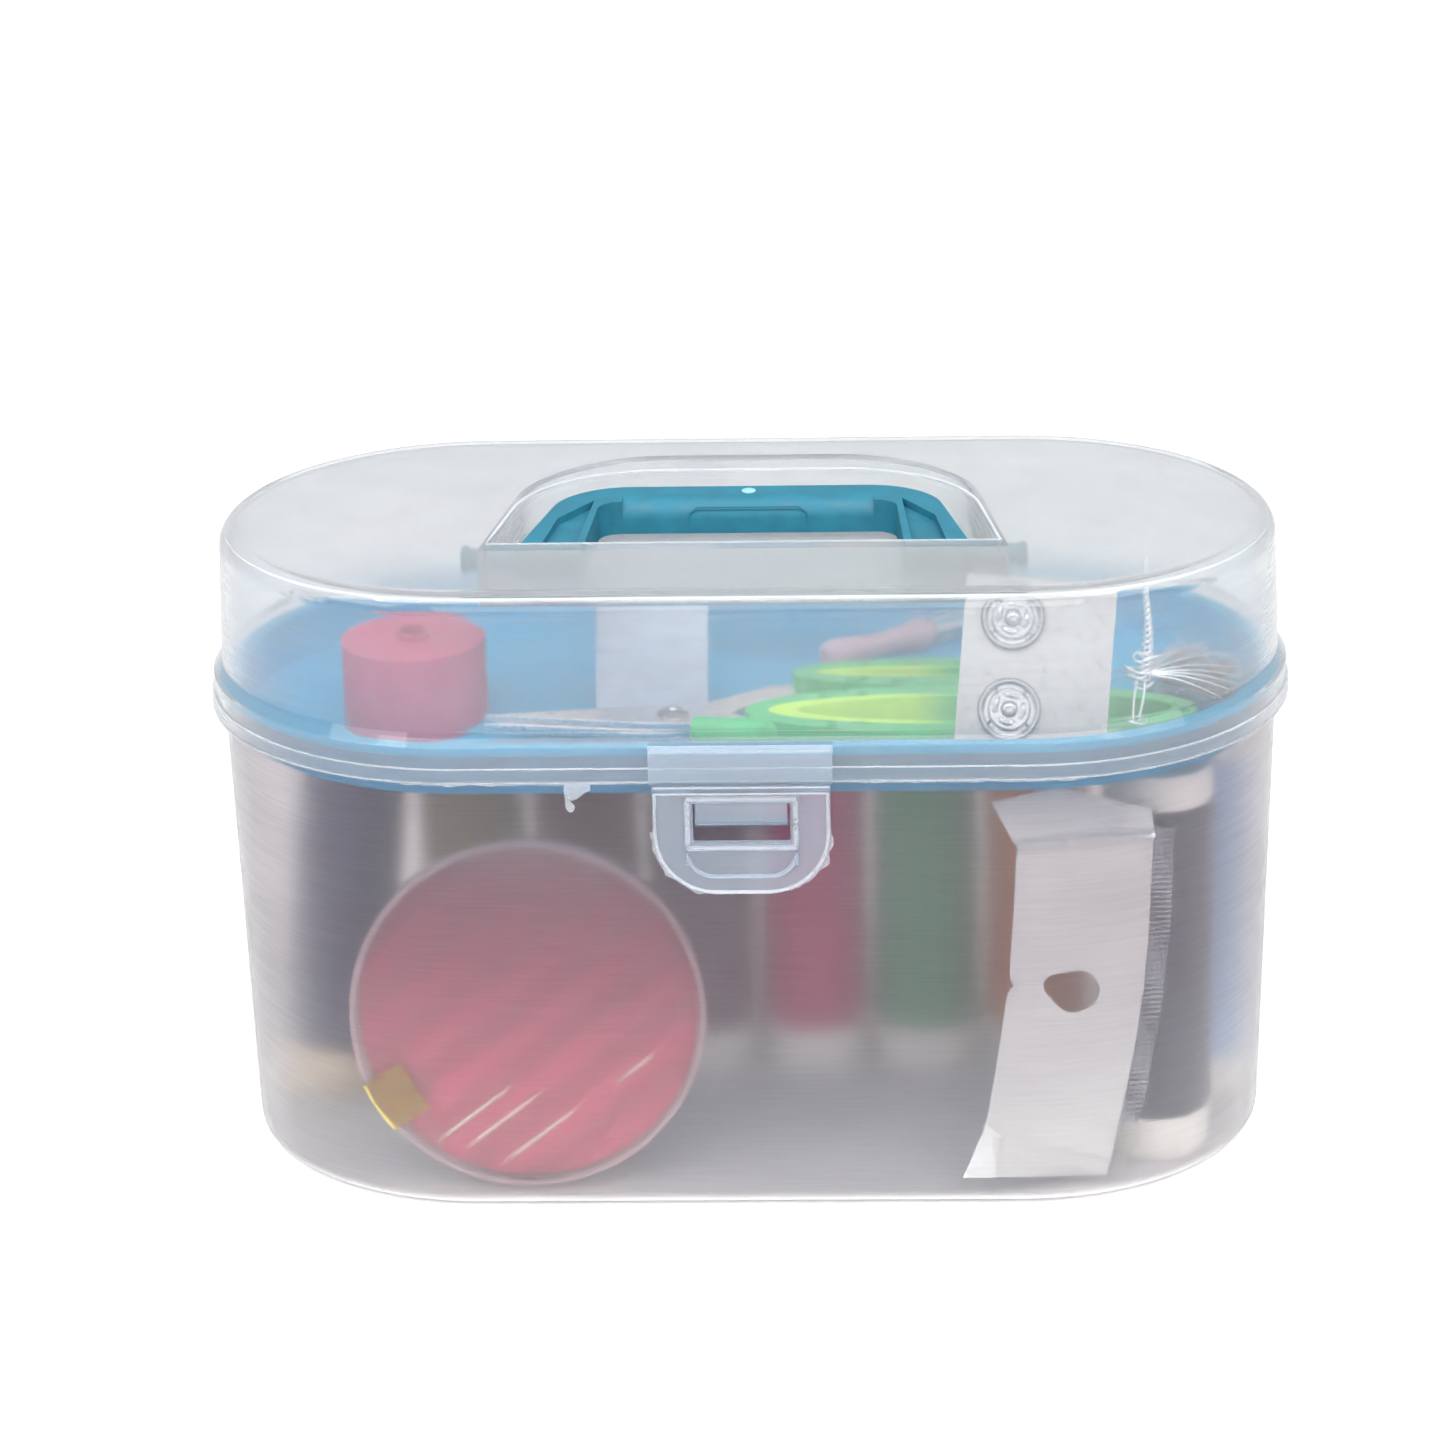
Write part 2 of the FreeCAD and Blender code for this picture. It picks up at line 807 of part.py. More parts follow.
def make_spool(colour):
    """One spool and its wound thread, standing on the tub's floor."""
    top = "spool_height"
    spool = turned(
        "spool_" + colour,
        [
            ("0 * spool_foot", "0 * spool_foot"),
            ("spool_radius - spool_chamfer", "0 * spool_foot"),
            ("spool_radius", "spool_chamfer"),
            ("spool_radius", "spool_foot - spool_chamfer"),
            ("spool_radius - spool_chamfer", "spool_foot"),
            ("spool_core_radius", "spool_foot"),
            ("spool_core_radius", f"{top} - spool_head"),
            ("spool_radius - spool_chamfer", f"{top} - spool_head"),
            ("spool_radius", f"{top} - spool_head + spool_chamfer"),
            ("spool_radius", f"{top} - spool_chamfer"),
            ("spool_radius - spool_chamfer", top),
            ("0 * spool_foot", top),
        ],
    )
    thread = turned(
        "thread_" + colour,
        [
            ("spool_core_radius", "spool_foot"),
            ("thread_radius", "spool_foot"),
            ("thread_radius", f"{top} - spool_head"),
            ("spool_core_radius", f"{top} - spool_head"),
        ],
    )
    lean = "spool_lean_" + colour
    for body in (spool, thread):
        body.Placement.Rotation = FreeCAD.Rotation(ALONG_Y, value(lean))
        bind(body, "Placement.Base.x", "spool_x_" + colour)
        bind(body, "Placement.Base.y", "spool_y_" + colour)
        bind(body, "Placement.Base.z", f"tub_floor + rest_gap + spool_radius * sin({lean})")


def solid(kind, name, place, turn=None, part=False, **sizes):
    """A Part primitive whose sizes are sheet expressions, set at place and turned by turn."""
    item = new_part(kind, name) if part else DOC.addObject(kind, name)
    item.Placement = FreeCAD.Placement(FreeCAD.Vector(place), turn or FreeCAD.Rotation())
    for prop, words in sizes.items():
        bind(item, prop, words)
    return item


def cut(label, base, tool, part=True):
    """One solid less another."""
    item = new_part("Part::Cut", label) if part else DOC.addObject("Part::Cut", label)
    item.Base = base
    item.Tool = tool
    return item


def fuse(label, shapes, part=True):
    """Several solids as one object."""
    item = new_part("Part::MultiFuse", label) if part else DOC.addObject("Part::MultiFuse", label)
    item.Shapes = shapes
    return item


def group(label, shapes):
    """Separate solids that share one node."""
    item = new_part("Part::Compound", label)
    item.Links = shapes
    return item


class Frame:
    """A tilted set of axes: across, deep and up, about a centre."""

    def __init__(self, centre, *turns):
        """Each turn is an axis and a number of degrees, the outermost first."""
        self.centre = centre
        self.turn = FreeCAD.Rotation()
        for axis, degrees in turns:
            self.turn = self.turn * FreeCAD.Rotation(axis, degrees)

    def at(self, across=0.0, deep=0.0, up=0.0):
        """A place given along the frame's own axes."""
        return self.centre + self.turn.multVec(FreeCAD.Vector(across, deep, up))

    def turned(self, axis, degrees):
        """The frame's rotation, followed by one about its own axis."""
        return self.turn * FreeCAD.Rotation(axis, degrees)


def make_needle_case():
    """Flat round case that leans back: dish, snapped-on cover, foil insert and four needles."""
    radius = value("needle_case_radius")
    thick = value("needle_case_thick")
    lean = value("needle_case_lean")
    case = Frame(FreeCAD.Vector(), (ALONG_X, -lean))
    front_foot = case.at(deep=-thick, up=-radius)
    back_foot = case.at(up=-radius)
    case.centre = FreeCAD.Vector(
        value("needle_case_x"),
        -value("needle_case_foot") - front_foot.y,
        value("tub_floor + rest_gap") - back_foot.z,
    )
    facing = case.turned(ALONG_X, 90.0)

    def disc(name, forward, radius_words, thick_words, part=False):
        """A disc whose back face is that far forward of the case's back."""
        place = case.at(deep=-forward)
        return solid(
            "Part::Cylinder", name, place, facing, part, Radius=radius_words, Height=thick_words
        )

    half = "needle_case_thick / 2"
    inside = "needle_case_radius - needle_case_wall"
    dish = disc("case_dish", 0.0, "needle_case_radius", half)
    cut("needle_case_base", dish, disc("case_dish_room", value("needle_case_wall"), inside, half))
    cover = disc("case_cover_blank", thick / 2, "needle_case_radius", half)
    room_back = thick / 2 - value("needle_case_wall")
    cut("needle_case_cover", cover, disc("case_cover_room", room_back, inside, half))
    foil_back = value("foil_depth")
    disc("needle_foil", foil_back, f"{inside} - foil_clearance", "foil_thick", part=True)
    needle_depth = foil_back + value("foil_thick + needle_radius")
    lie = case.turned(ALONG_Y, 90.0 - value("needle_slant"))
    needles = [
        solid(
            "Part::Cylinder",
            f"needle_{i}",
            case.at(across, -needle_depth, up),
            lie,
            Radius="needle_radius",
            Height=length,
        )
        for i, (across, up, length) in enumerate(NEEDLES)
    ]
    group("needles", needles)
    make_case_seal(case)


def make_case_seal(case):
    """Sticker folded round the case's rim from its front to its back."""
    outwards = case.turned(ALONG_Y, value("seal_turn"))
    half = value("seal_length") / 2
    thick = value("needle_case_thick")
    skin = value("seal_thick")
    gap = value("seal_gap")

    def slab(name, reach, deep, **sizes):
        """A thin box that starts at reach from the case's axis."""
        corner = outwards.multVec(FreeCAD.Vector(reach, 0, -half))
        deep_in = case.turn.multVec(FreeCAD.Vector(0, deep, 0))
        place = case.centre + corner + deep_in
        return solid("Part::Box", name, place, outwards, Height="seal_length", **sizes)

    reach = value("needle_case_radius - seal_lap")
    face = dict(Length="seal_lap + seal_gap + seal_thick", Width="seal_thick")
    front = slab("seal_front", reach, -thick - gap - skin, **face)
    back = slab("seal_back", reach, gap, **face)
    edge = slab(
        "seal_edge",
        value("needle_case_radius + seal_gap"),
        -thick - gap - skin,
        Length="seal_thick",
        Width="needle_case_thick + 2 * seal_gap + 2 * seal_thick",
    )
    fuse("case_seal", [front, back, edge])


def make_header_card():
    """Folded white header card of the notions bag, its hang hole and the bag's crimped film edge."""
    card = Frame(
        FreeCAD.Vector(value("header_x"), value("header_y"), value("header_z")),
        (ALONG_Z, value("header_turn")),
        (ALONG_Y, value("header_roll")),
        (ALONG_X, value("header_tip")),
    )
    half = value("header_width") / 2
    tall = value("header_height") / 2
    sheet = solid(
        "Part::Box",
        "header_sheet",
        card.at(-half, 0, -tall),
        card.turn,
        Length="header_width",
        Width="header_thick",
        Height="header_height",
    )
    flap = solid(
        "Part::Box",
        "header_fold",
        card.at(-half, 0, tall - value("header_fold_lap")),
        card.turned(ALONG_X, -value("header_fold_lean")),
        Length="header_width",
        Width="header_thick",
        Height="header_flap",
    )
    hole = solid(
        "Part::Cylinder",
        "header_hole",
        card.at(value("header_hole_across"), -value("overrun"), value("header_hole_up")),
        card.turned(ALONG_X, -90.0),
        Radius="header_hole_radius",
        Height="header_thick + 2 * overrun",
    )
    cut("header_card", fuse("header_blank", [sheet, flap], part=False), hole)
    solid(
        "Part::Box",
        "film_strip",
        card.at(half + value("film_gap"), value("film_behind"), value("film_foot") - tall),
        card.turn,
        part=True,
        Length="film_width",
        Width="film_thick",
        Height="film_height",
    )


def make_tape():
    """Rolled tape measure standing on its edge, with its tab lying along the roll."""
    foot = FreeCAD.Vector(value("tape_x"), value("tape_y"), value(TRAY_FLOOR + " + rest_gap"))
    roll = solid("Part::Cylinder", "tape_roll", foot, Radius="tape_radius", Height="tape_width")
    eye_foot = foot - ALONG_Z * value("overrun")
    eye = solid(
        "Part::Cylinder",
        "tape_eye",
        eye_foot,
        Radius="tape_core_radius",
        Height="tape_width + 2 * overrun",
    )
    ring = cut("tape_ring", roll, eye, part=False)
    tab_corner = foot + FreeCAD.Vector(value("tape_radius - tape_tab_thick"), -value("tape_tab_front"), 0)
    tab = solid(
        "Part::Box",
        "tape_tab",
        tab_corner,
        Length="tape_tab_thick + tape_tab_lift",
        Width="tape_tab_length",
        Height="tape_width",
    )
    fuse("tape_measure", [ring, tab])


def leaning_card(label):
    """A thin card that stands on the tray's floor and leans back; gives its frame, foot in the middle."""
    lean = value(label + "_lean")
    roll = value(label + "_roll")
    card = Frame(FreeCAD.Vector(), (ALONG_X, -lean), (ALONG_Y, roll))
    half = value(label + "_width") / 2
    thick = value("card_thick")
    lowest = min(card.at(across, deep).z for across in (-half, half) for deep in (0.0, thick))
    floor = value(TRAY_FLOOR + " + rest_gap")
    card.centre = FreeCAD.Vector(value(label + "_x"), value(label + "_foot"), floor - lowest)
    solid(
        "Part::Box",
        label,
        card.at(-half),
        card.turn,
        part=True,
        Length=label + "_width",
        Width="card_thick",
        Height=label + "_height",
    )
    return card


def make_cards():
    """Card of metal press studs at the front, plain needle card further back."""
    card = leaning_card("snap_card")
    facing = card.turned(ALONG_X, 90.0)
    studs = []
    for name, (across, up) in PRESS_STUDS.items():
        place = card.at(across, 0, up)
        plate = solid(
            "Part::Cylinder", name + "_plate", place, facing, Radius="stud_radius", Height="stud_plate"
        )
        nub = solid(
            "Part::Cylinder", name + "_nub", place, facing, Radius="stud_nub_radius", Height="stud_high"
        )
        studs.append(fuse(name + "_press_stud", [plate, nub], part=False))
    group("press_studs", studs)
    leaning_card("needle_card")


def make_seam_ripper():
    """Seam ripper lying on the tray's floor: pink handle and its clear cap."""
    start = FreeCAD.Vector(
        value("ripper_x"), value("ripper_y"), value(TRAY_FLOOR + " + ripper_radius + rest_gap")
    )
    ripper = Frame(start, (ALONG_Z, value("ripper_turn")))
    lie = ripper.turned(ALONG_Y, 90.0)
    solid(
        "Part::Cylinder",
        "ripper_handle",
        start,
        lie,
        part=True,
        Radius="ripper_radius",
        Height="ripper_handle",
    )
    solid(
        "Part::Cylinder",
        "ripper_cap",
        ripper.at(value("ripper_handle")),
        lie,
        part=True,
        Radius="ripper_radius - ripper_step",
        Height="ripper_cap",
    )


def make_blade(side, plan, height, hole_radius):
    """One blade with its tang, flat in plan, with the screw's hole."""
    label = f"scissor_{side}_blade"
    blade = new_part("PartDesign::Body", label)
    corners = [(f"scissor_pivot_x + {u}", f"scissor_pivot_y + {v}") for u, v in plan]
    pad(blade, polygon(blade, side + "_blade_plan", "XY_Plane", corners, height), "blade_thick")
    hole = circle(
        blade,
        side + "_blade_hole",
        "XY_Plane",
        "scissor_pivot_x",
        "scissor_pivot_y",
        hole_radius,
        height + " + blade_thick",
    )
    pocket(blade, hole, "blade_thick")
    return blade


def ellipse_prism(name, x, y, long, wide, foot, high):
    """An upright prism on an ellipse whose long axis is along x."""
    outline = DOC.addObject("Part::Ellipse", name + "_outline")
    bind(outline, "MajorRadius", long)
    bind(outline, "MinorRadius", wide)
    bind(outline, "Placement.Base.x", x)
    bind(outline, "Placement.Base.y", y)
    bind(outline, "Placement.Base.z", foot)
    prism = DOC.addObject("Part::Extrusion", name)
    prism.Base = outline
    prism.DirMode = "Custom"
    prism.Dir = ALONG_Z
    prism.Solid = True
    bind(prism, "LengthFwd", high)
    return prism


def make_bow(side, blade):
    """Moulded finger loop on a blade's tang, with a soft crescent at the tang end of its hole."""
    x = side + "_bow_x"
    y = side + "_bow_y"
    long = side + "_bow_long"
    wide = side + "_bow_wide"
    foot = "bow_foot"
    high = "bow_thick"
    below = "bow_foot - overrun"
    right_through = "bow_thick + 2 * overrun"
    hole_long = long + " - bow_rim"
    hole_wide = wide + " - bow_rim"
    outer = ellipse_prism(side + "_loop", x, y, long, wide, foot, high)
    hole = ellipse_prism(side + "_hole", x, y, hole_long, hole_wide, below, right_through)
    ring = cut(side + "_ring", outer, hole, part=False)
    cut(f"scissor_{side}_handle", ring, blade)
    lining = ellipse_prism(side + "_lining", x, y, hole_long, hole_wide, foot, high)
    bite_x = x + " + crescent_reach"
    bite_wide = hole_wide + " - crescent_rim"
    bite = ellipse_prism(side + "_bite", bite_x, y, hole_long, bite_wide, below, right_through)
    crescent = cut(side + "_crescent", lining, bite, part=False)
    cut(f"scissor_{side}_grip", crescent, blade)


def make_scissors():
    """Small scissors: two blades on a screw, each with a moulded finger loop."""
    lower = "blade_height - blade_thick - blade_gap"
    front_blade = make_blade("front", FRONT_BLADE, "blade_height", "screw_radius")
    rear_blade = make_blade("rear", REAR_BLADE, lower, "screw_radius + running_clearance")
    centre = FreeCAD.Vector(value("scissor_pivot_x"), value("scissor_pivot_y"), 0)

    def screw_part(name, height, radius, high):
        """A cylinder on the screw's axis."""
        place = centre + ALONG_Z * value(height)
        return solid("Part::Cylinder", name, place, Radius=radius, Height=high)

    tail_foot = f"{lower} - screw_gap - screw_tail_high"
    shank_high = "screw_tail_high + screw_gap + 2 * blade_thick + blade_gap + screw_head_high"
    shank = screw_part("screw_shank", tail_foot, "screw_radius", shank_high)
    tail = screw_part("screw_tail", tail_foot, "screw_tail_radius", "screw_tail_high")
    head = screw_part("screw_head", "blade_height + blade_thick", "screw_head_radius", "screw_head_high")
    fuse("scissor_screw", [shank, tail, head])
    make_bow("front", front_blade)
    make_bow("rear", rear_blade)


def make_button_bag():
    """Knotted cellophane bag with its twisted neck, and the dark buttons inside it."""
    middle = FreeCAD.Vector(
        value("bag_x"), value("bag_y"), value(TRAY_FLOOR + " + bag_high + 2 * rest_gap")
    )
    pillow = solid(
        "Part::Ellipsoid",
        "bag_pillow",
        middle,
        Radius1="bag_high",
        Radius2="bag_wide",
        Radius3="bag_long",
    )
    room = solid(
        "Part::Ellipsoid",
        "bag_room",
        middle,
        Radius1="bag_high - bag_film",
        Radius2="bag_wide - bag_film",
        Radius3="bag_long - bag_film",
    )
    neck_offset = (-value("bag_neck_left"), -value("bag_neck_front"), value("bag_neck_up"))
    neck_foot = middle + FreeCAD.Vector(*neck_offset)
    neck = solid(
        "Part::Cone",
        "bag_neck",
        neck_foot,
        Radius1="bag_neck_radius",
        Radius2="bag_neck_tip",
        Height="bag_neck_height",
    )
    skin = fuse("bag_skin", [pillow, neck], part=False)
    cut("button_bag", skin, room)
    half = value("button_thick") / 2
    buttons = [
        solid(
            "Part::Cylinder",
            f"button_{i}",
            middle + FreeCAD.Vector(across, along, -half),
            Radius="button_radius",
            Height="button_thick",
        )
        for i, (across, along) in enumerate(BUTTONS)
    ]
    group("buttons", buttons)


def check():
    """Stop if any object failed, or any piece isn't a valid solid."""
    for item in DOC.Objects:
        if {"Invalid", "Error"} & set(item.State):
            raise RuntimeError(f"{item.Name} is {item.State}")
    for item in PARTS:
        if item.Shape.isNull() or not item.Shape.isValid() or not item.Shape.Solids:
            raise RuntimeError(item.Label + " has no valid solid")


def export():
    """One STEP file for each piece."""
    os.makedirs("parts", exist_ok=True)
    for item in PARTS:
        item.Shape.exportStep(f"parts/{item.Label}.step")
        print(f"{item.Label:24} {len(item.Shape.Solids)} solid(s) {item.Shape.Volume:10.1f} mm3")


fill_sheet()
make_tub()
make_tray()
make_lid()
make_latch()
make_handle()
for colour in SPOOLS:
    make_spool(colour)
make_needle_case()
make_header_card()
make_tape()
make_cards()
make_seam_ripper()
make_scissors()
make_button_bag()
DOC.recompute()
check()
export()
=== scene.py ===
import random
from math import atan2, cos, exp, hypot, pi, radians, sin, sqrt, tan

import bmesh
import bpy
from mathutils import Matrix, Vector, noise


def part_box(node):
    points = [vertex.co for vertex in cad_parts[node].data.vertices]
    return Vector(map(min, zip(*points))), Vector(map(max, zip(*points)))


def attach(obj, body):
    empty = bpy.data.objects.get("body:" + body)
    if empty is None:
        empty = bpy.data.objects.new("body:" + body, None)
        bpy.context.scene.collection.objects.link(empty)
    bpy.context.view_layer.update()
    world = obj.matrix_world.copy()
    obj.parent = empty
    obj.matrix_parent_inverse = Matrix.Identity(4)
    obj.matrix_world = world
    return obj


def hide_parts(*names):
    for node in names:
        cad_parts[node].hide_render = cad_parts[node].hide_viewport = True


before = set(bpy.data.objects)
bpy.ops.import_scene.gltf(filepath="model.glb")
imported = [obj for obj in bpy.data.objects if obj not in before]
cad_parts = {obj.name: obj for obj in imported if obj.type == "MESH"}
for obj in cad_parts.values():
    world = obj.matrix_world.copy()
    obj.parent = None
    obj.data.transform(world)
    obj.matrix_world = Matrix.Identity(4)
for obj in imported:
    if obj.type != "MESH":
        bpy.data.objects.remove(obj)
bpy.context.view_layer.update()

MM = 0.001
TURN = 2 * pi
UP = Vector((0, 0, 1))
SCENE = bpy.context.scene

# The body that a piece rides on, and the record's slot for its finish
LID = ("lid_body", "clear_lid")
LATCH = ("latch_body", "clear_latch")
HANDLE = ("handle_body", "cyan_handle")
CASE = ("tub_body", "case_clear")
SEAL = ("tub_body", "seal_gold")
BAG = ("tray_body", "bag_film")


# Mesh helpers


def mm(x, y, z):
    """A point given in millimetres."""
    return Vector((x * MM, y * MM, z * MM))


def polar(radius, angle, height=0.0):
    """A point at an angle round the Z axis."""
    return Vector((radius * cos(angle), radius * sin(angle), height))


def clamp(value):
    return max(-1.0, min(1.0, value))


def peak(offset, width):
    """1 at an offset of 0, with a sharp top."""
    return exp(-abs(offset) / width)


def hump(offset, width):
    """1 at an offset of 0, with a round top."""
    return exp(-((offset / width) ** 2))


def drift(x, y, z):
    """Smooth noise at a point."""
    return noise.noise(Vector((x, y, z)))


def closed_path(centre, first, second, steps):
    """An ellipse from two half axes, its last point on its first."""
    angles = [TURN * k / steps for k in range(steps + 1)]
    return [centre + first * cos(a) + second * sin(a) for a in angles]


def add_object(name, data):
    """Link a mesh, lamp or camera as an object of its own."""
    thing = bpy.data.objects.new(name, data)
    SCENE.collection.objects.link(thing)
    return thing


def smooth(piece, angle):
    """Smooth shading that keeps the edges sharper than angle."""
    for face in piece.data.polygons:
        face.use_smooth = True
    piece.data.set_sharp_from_angle(angle=radians(angle))
    return piece


def cleaned(name, mesh, angle, clean):
    """A mesh as a smooth object, after clean(shell) has worked on it."""
    shell = bmesh.new()
    shell.from_mesh(mesh)
    clean(shell)
    shell.to_mesh(mesh)
    shell.free()
    mesh.update()
    return smooth(add_object(name, mesh), angle)


def weld(shell, gap=1e-7):
    bmesh.ops.remove_doubles(shell, verts=shell.verts, dist=gap)


def weld_turned(shell):
    weld(shell)
    bmesh.ops.dissolve_degenerate(shell, edges=shell.edges, dist=1e-8)


def drop_loose(shell):
    loose = [v for v in shell.verts if not v.link_faces]
    bmesh.ops.delete(shell, geom=loose, context="VERTS")


def from_faces(name, vertices, faces, angle=35.0, clean=weld):
    """A smooth object from points and faces, with outward normals."""
    mesh = bpy.data.meshes.new(name)
    mesh.from_pydata([tuple(v) for v in vertices], [], faces)

    def clean_outward(shell):
        clean(shell)
        bmesh.ops.recalc_face_normals(shell, faces=shell.faces)

    return cleaned(name, mesh, angle, clean_outward)


def finish(piece, owner, material, *nodes):
    """Give a piece its material and body, and hide the CAD nodes that it stands for; the slot in
    owner is not used.
    """
    body, slot = owner
    piece.data.materials.clear()
    piece.data.materials.append(material)
    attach(piece, body)
    if nodes:
        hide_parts(*nodes)


def rounded_copy(node, name, width, segments, crease=35.0, limit=35.0):
    """A CAD node's shape as a new piece: vertices welded, edges sharper than limit rounded."""

    def clean(shell):
        weld(shell, 2e-6)
        flat = radians(0.5)
        bmesh.ops.dissolve_limit(shell, angle_limit=flat, verts=shell.verts, edges=shell.edges)

    piece = cleaned(name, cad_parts[node].data.copy(), crease, clean)
    step = piece.modifiers.new("rounded", "BEVEL")
    step.width = width * MM
    step.segments = segments
    step.limit_method = "ANGLE"
    step.angle_limit = radians(limit)
    return piece


def bands(rings, sides):
    """Quads that join each ring of points to the next."""
    faces = []
    for start in range(0, rings * sides, sides):
        for k in range(sides):
            a = start + k
            b = start + (k + 1) % sides
            faces.append((a, b, b + sides, a + sides))
    return faces


def rod_faces(rings, sides):
    """Bands with a cap on each end."""
    last = rings * sides
    return bands(rings, sides) + [tuple(reversed(range(sides))), tuple(range(last, last + sides))]


def lathe(name, profile, place, segments=64, wobble=None):
    """A turned shape from (radius, height) pairs in mm; wobble(angle, i) adds to radius i."""
    vertices = []
    faces = []
    count = len(profile)
    for s in range(segments):
        angle = TURN * s / segments
        for i, (radius, height) in enumerate(profile):
            r = radius + (wobble(angle, i) if wobble and radius > 0 else 0)
            vertices.append(place @ (polar(r, angle, height) * MM))
            here = s * count
            after = (s + 1) % segments * count
            j = (i + 1) % count
            faces.append((here + i, here + j, after + j, after + i))
    return from_faces(name, vertices, faces, 40.0, weld_turned)


def tube(name, path, radii, sides=10):
    """A round rod along a path; radii, in millimetres, is a number or one for each point."""
    if isinstance(radii, float):
        radii = [radii] * len(path)
    vertices = []
    last = len(path) - 1
    for i, point in enumerate(path):
        ahead = path[min(i + 1, last)] - path[max(i - 1, 0)]
        ahead.normalize()
        side = ahead.cross(UP)
        if side.length < 1e-3:
            side = ahead.cross(Vector((0, 1, 0)))
        side.normalize()
        lift = side.cross(ahead)
        for k in range(sides):
            angle = TURN * k / sides
            vertices.append(point + (side * cos(angle) + lift * sin(angle)) * radii[i] * MM)
    return from_faces(name, vertices, rod_faces(last, sides))


def bead(name, path, radii, owner, material, sides=8):
    """A tube as a piece of its own."""
    finish(tube(name, path, radii, sides), owner, material)


def thin_sheet(name, columns, rows, place, thickness, keep=None):
    """Two faces round place(u, v), u and v from 0 to 1; keep(u, v) says which cells stay."""
    grid = [[place(c / columns, r / rows) for c in range(columns + 1)] for r in range(rows + 1)]
    vertices = []
    faces = []

    def normal(r, c):
        across = grid[r][min(c + 1, columns)] - grid[r][max(c - 1, 0)]
        along = grid[min(r + 1, rows)][c] - grid[max(r - 1, 0)][c]
        return across.cross(along).normalized()

    for side in (0.5, -0.5):
        for r in range(rows + 1):
            for c in range(columns + 1):
                vertices.append(grid[r][c] + normal(r, c) * thickness * MM * side)
    back = (rows + 1) * (columns + 1)
    rim = {}
    for r in range(rows):
        for c in range(columns):
            if keep and not keep((c + 0.5) / columns, (r + 0.5) / rows):
                continue
            a = r * (columns + 1) + c
            ring = (a, a + 1, a + columns + 2, a + columns + 1)
            faces.append(ring)
            faces.append(tuple(i + back for i in reversed(ring)))
            for edge in zip(ring, ring[1:] + ring[:1]):
                if rim.pop(edge[::-1], None) is None:
                    rim[edge] = True
    for i, j in rim:
        faces.append((j, i, i + back, j + back))
    return from_faces(name, vertices, faces, 50.0, drop_loose)


def join(parts, name):
    """Several mesh objects as one."""
    joined = bmesh.new()
    for part in parts:
        joined.from_mesh(part.data)
    mesh = bpy.data.meshes.new(name)
    joined.to_mesh(mesh)
    joined.free()
    for part in parts:
        bpy.data.objects.remove(part)
    return smooth(add_object(name, mesh), 50.0)


def turned_place(centre, *turns):
    """A place with rotations in degrees about its own axes, the outermost first."""
    place = Matrix.Translation(centre)
    for axis, degrees in turns:
        place = place @ Matrix.Rotation(radians(degrees), 4, axis)
    return place


def middle_of(node):
    low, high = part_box(node)
    return (low + high) / 2


# Shader helpers: a material's node tree is found from any of its sockets


def link(source, target):
    """Feed a socket with another socket, a number or a colour."""
    if isinstance(source, tuple):
        target.default_value = (*source, 1.0)
    elif isinstance(source, float):
        target.default_value = source
    else:
        source.id_data.links.new(source, target)


def add_node(tree, kind, **inputs):
    """A shader node with its inputs set by name."""
    node = tree.nodes.new(kind)
    for name, value in inputs.items():
        node.inputs[name.replace("_", " ")].default_value = value
    return node


def shader_of(tree):
    return tree.nodes["Principled BSDF"]


def plastic(name, colour, roughness, **sockets):
    """A Principled material whose plain values are set on its own sockets."""
    material = bpy.data.materials.new(name)
    material.use_nodes = True
    shader = shader_of(material.node_tree)
    link(colour, shader.inputs["Base Color"])
    link(roughness, shader.inputs["Roughness"])
    for socket, value in sockets.items():
        link(value, shader.inputs[socket.replace("_", " ")])
    return material


def texture(tree, kind, scale, rotation=(0.0, 0.0, 0.0), **inputs):
    """A texture in the object's own coordinates, in millimetres times scale."""
    place = add_node(tree, "ShaderNodeTexCoord")
    mapping = add_node(tree, "ShaderNodeMapping", Scale=scale, Rotation=rotation)
    node = add_node(tree, kind, **inputs)
    link(place.outputs["Object"], mapping.inputs["Vector"])
    link(mapping.outputs["Vector"], node.inputs["Vector"])
    return node.outputs["Fac"]


def pattern(tree, scale, stretch=(1.0, 1.0, 1.0), detail=3.0, roughness=0.5, distortion=0.0):
    """Noise; scale is in features per millimetre."""
    inputs = {"Scale": 1.0, "Detail": detail, "Roughness": roughness, "Distortion": distortion}
    size = tuple(1000 * scale * s for s in stretch)
    return texture(tree, "ShaderNodeTexNoise", size, **inputs)


def wave_bands(tree, scale, distortion, tilt=0.0):
    """Level bands, tilted about Y by an angle in degrees."""
    rotation = (0.0, radians(tilt), 0.0)
    inputs = {"Scale": scale, "Distortion": distortion, "Detail": 1.0}
    levels = texture(tree, "ShaderNodeTexWave", (1000.0, 1000.0, 1000.0), rotation, **inputs)
    levels.node.bands_direction = "Z"
    return levels


def own_axis(tree, axis):
    """The object's own coordinate along an axis, in metres."""
    place = add_node(tree, "ShaderNodeTexCoord")
    split = add_node(tree, "ShaderNodeSeparateXYZ")
    link(place.outputs["Object"], split.inputs["Vector"])
    return split.outputs[axis]


def remap(source, low, high, start=0.3, end=0.7):
    """A number from low to high as source runs from start to end."""
    ends = {"From_Min": start, "From_Max": end, "To_Min": low, "To_Max": high}
    node = add_node(source.id_data, "ShaderNodeMapRange", **ends)
    link(source, node.inputs["Value"])
    return node.outputs["Result"]


def calculate(operation, first, second):
    """One arithmetic step on a socket and a socket or a number."""
    node = add_node(first.id_data, "ShaderNodeMath")
    node.operation = operation
    link(first, node.inputs[0])
    link(second, node.inputs[1])
    return node.outputs["Value"]


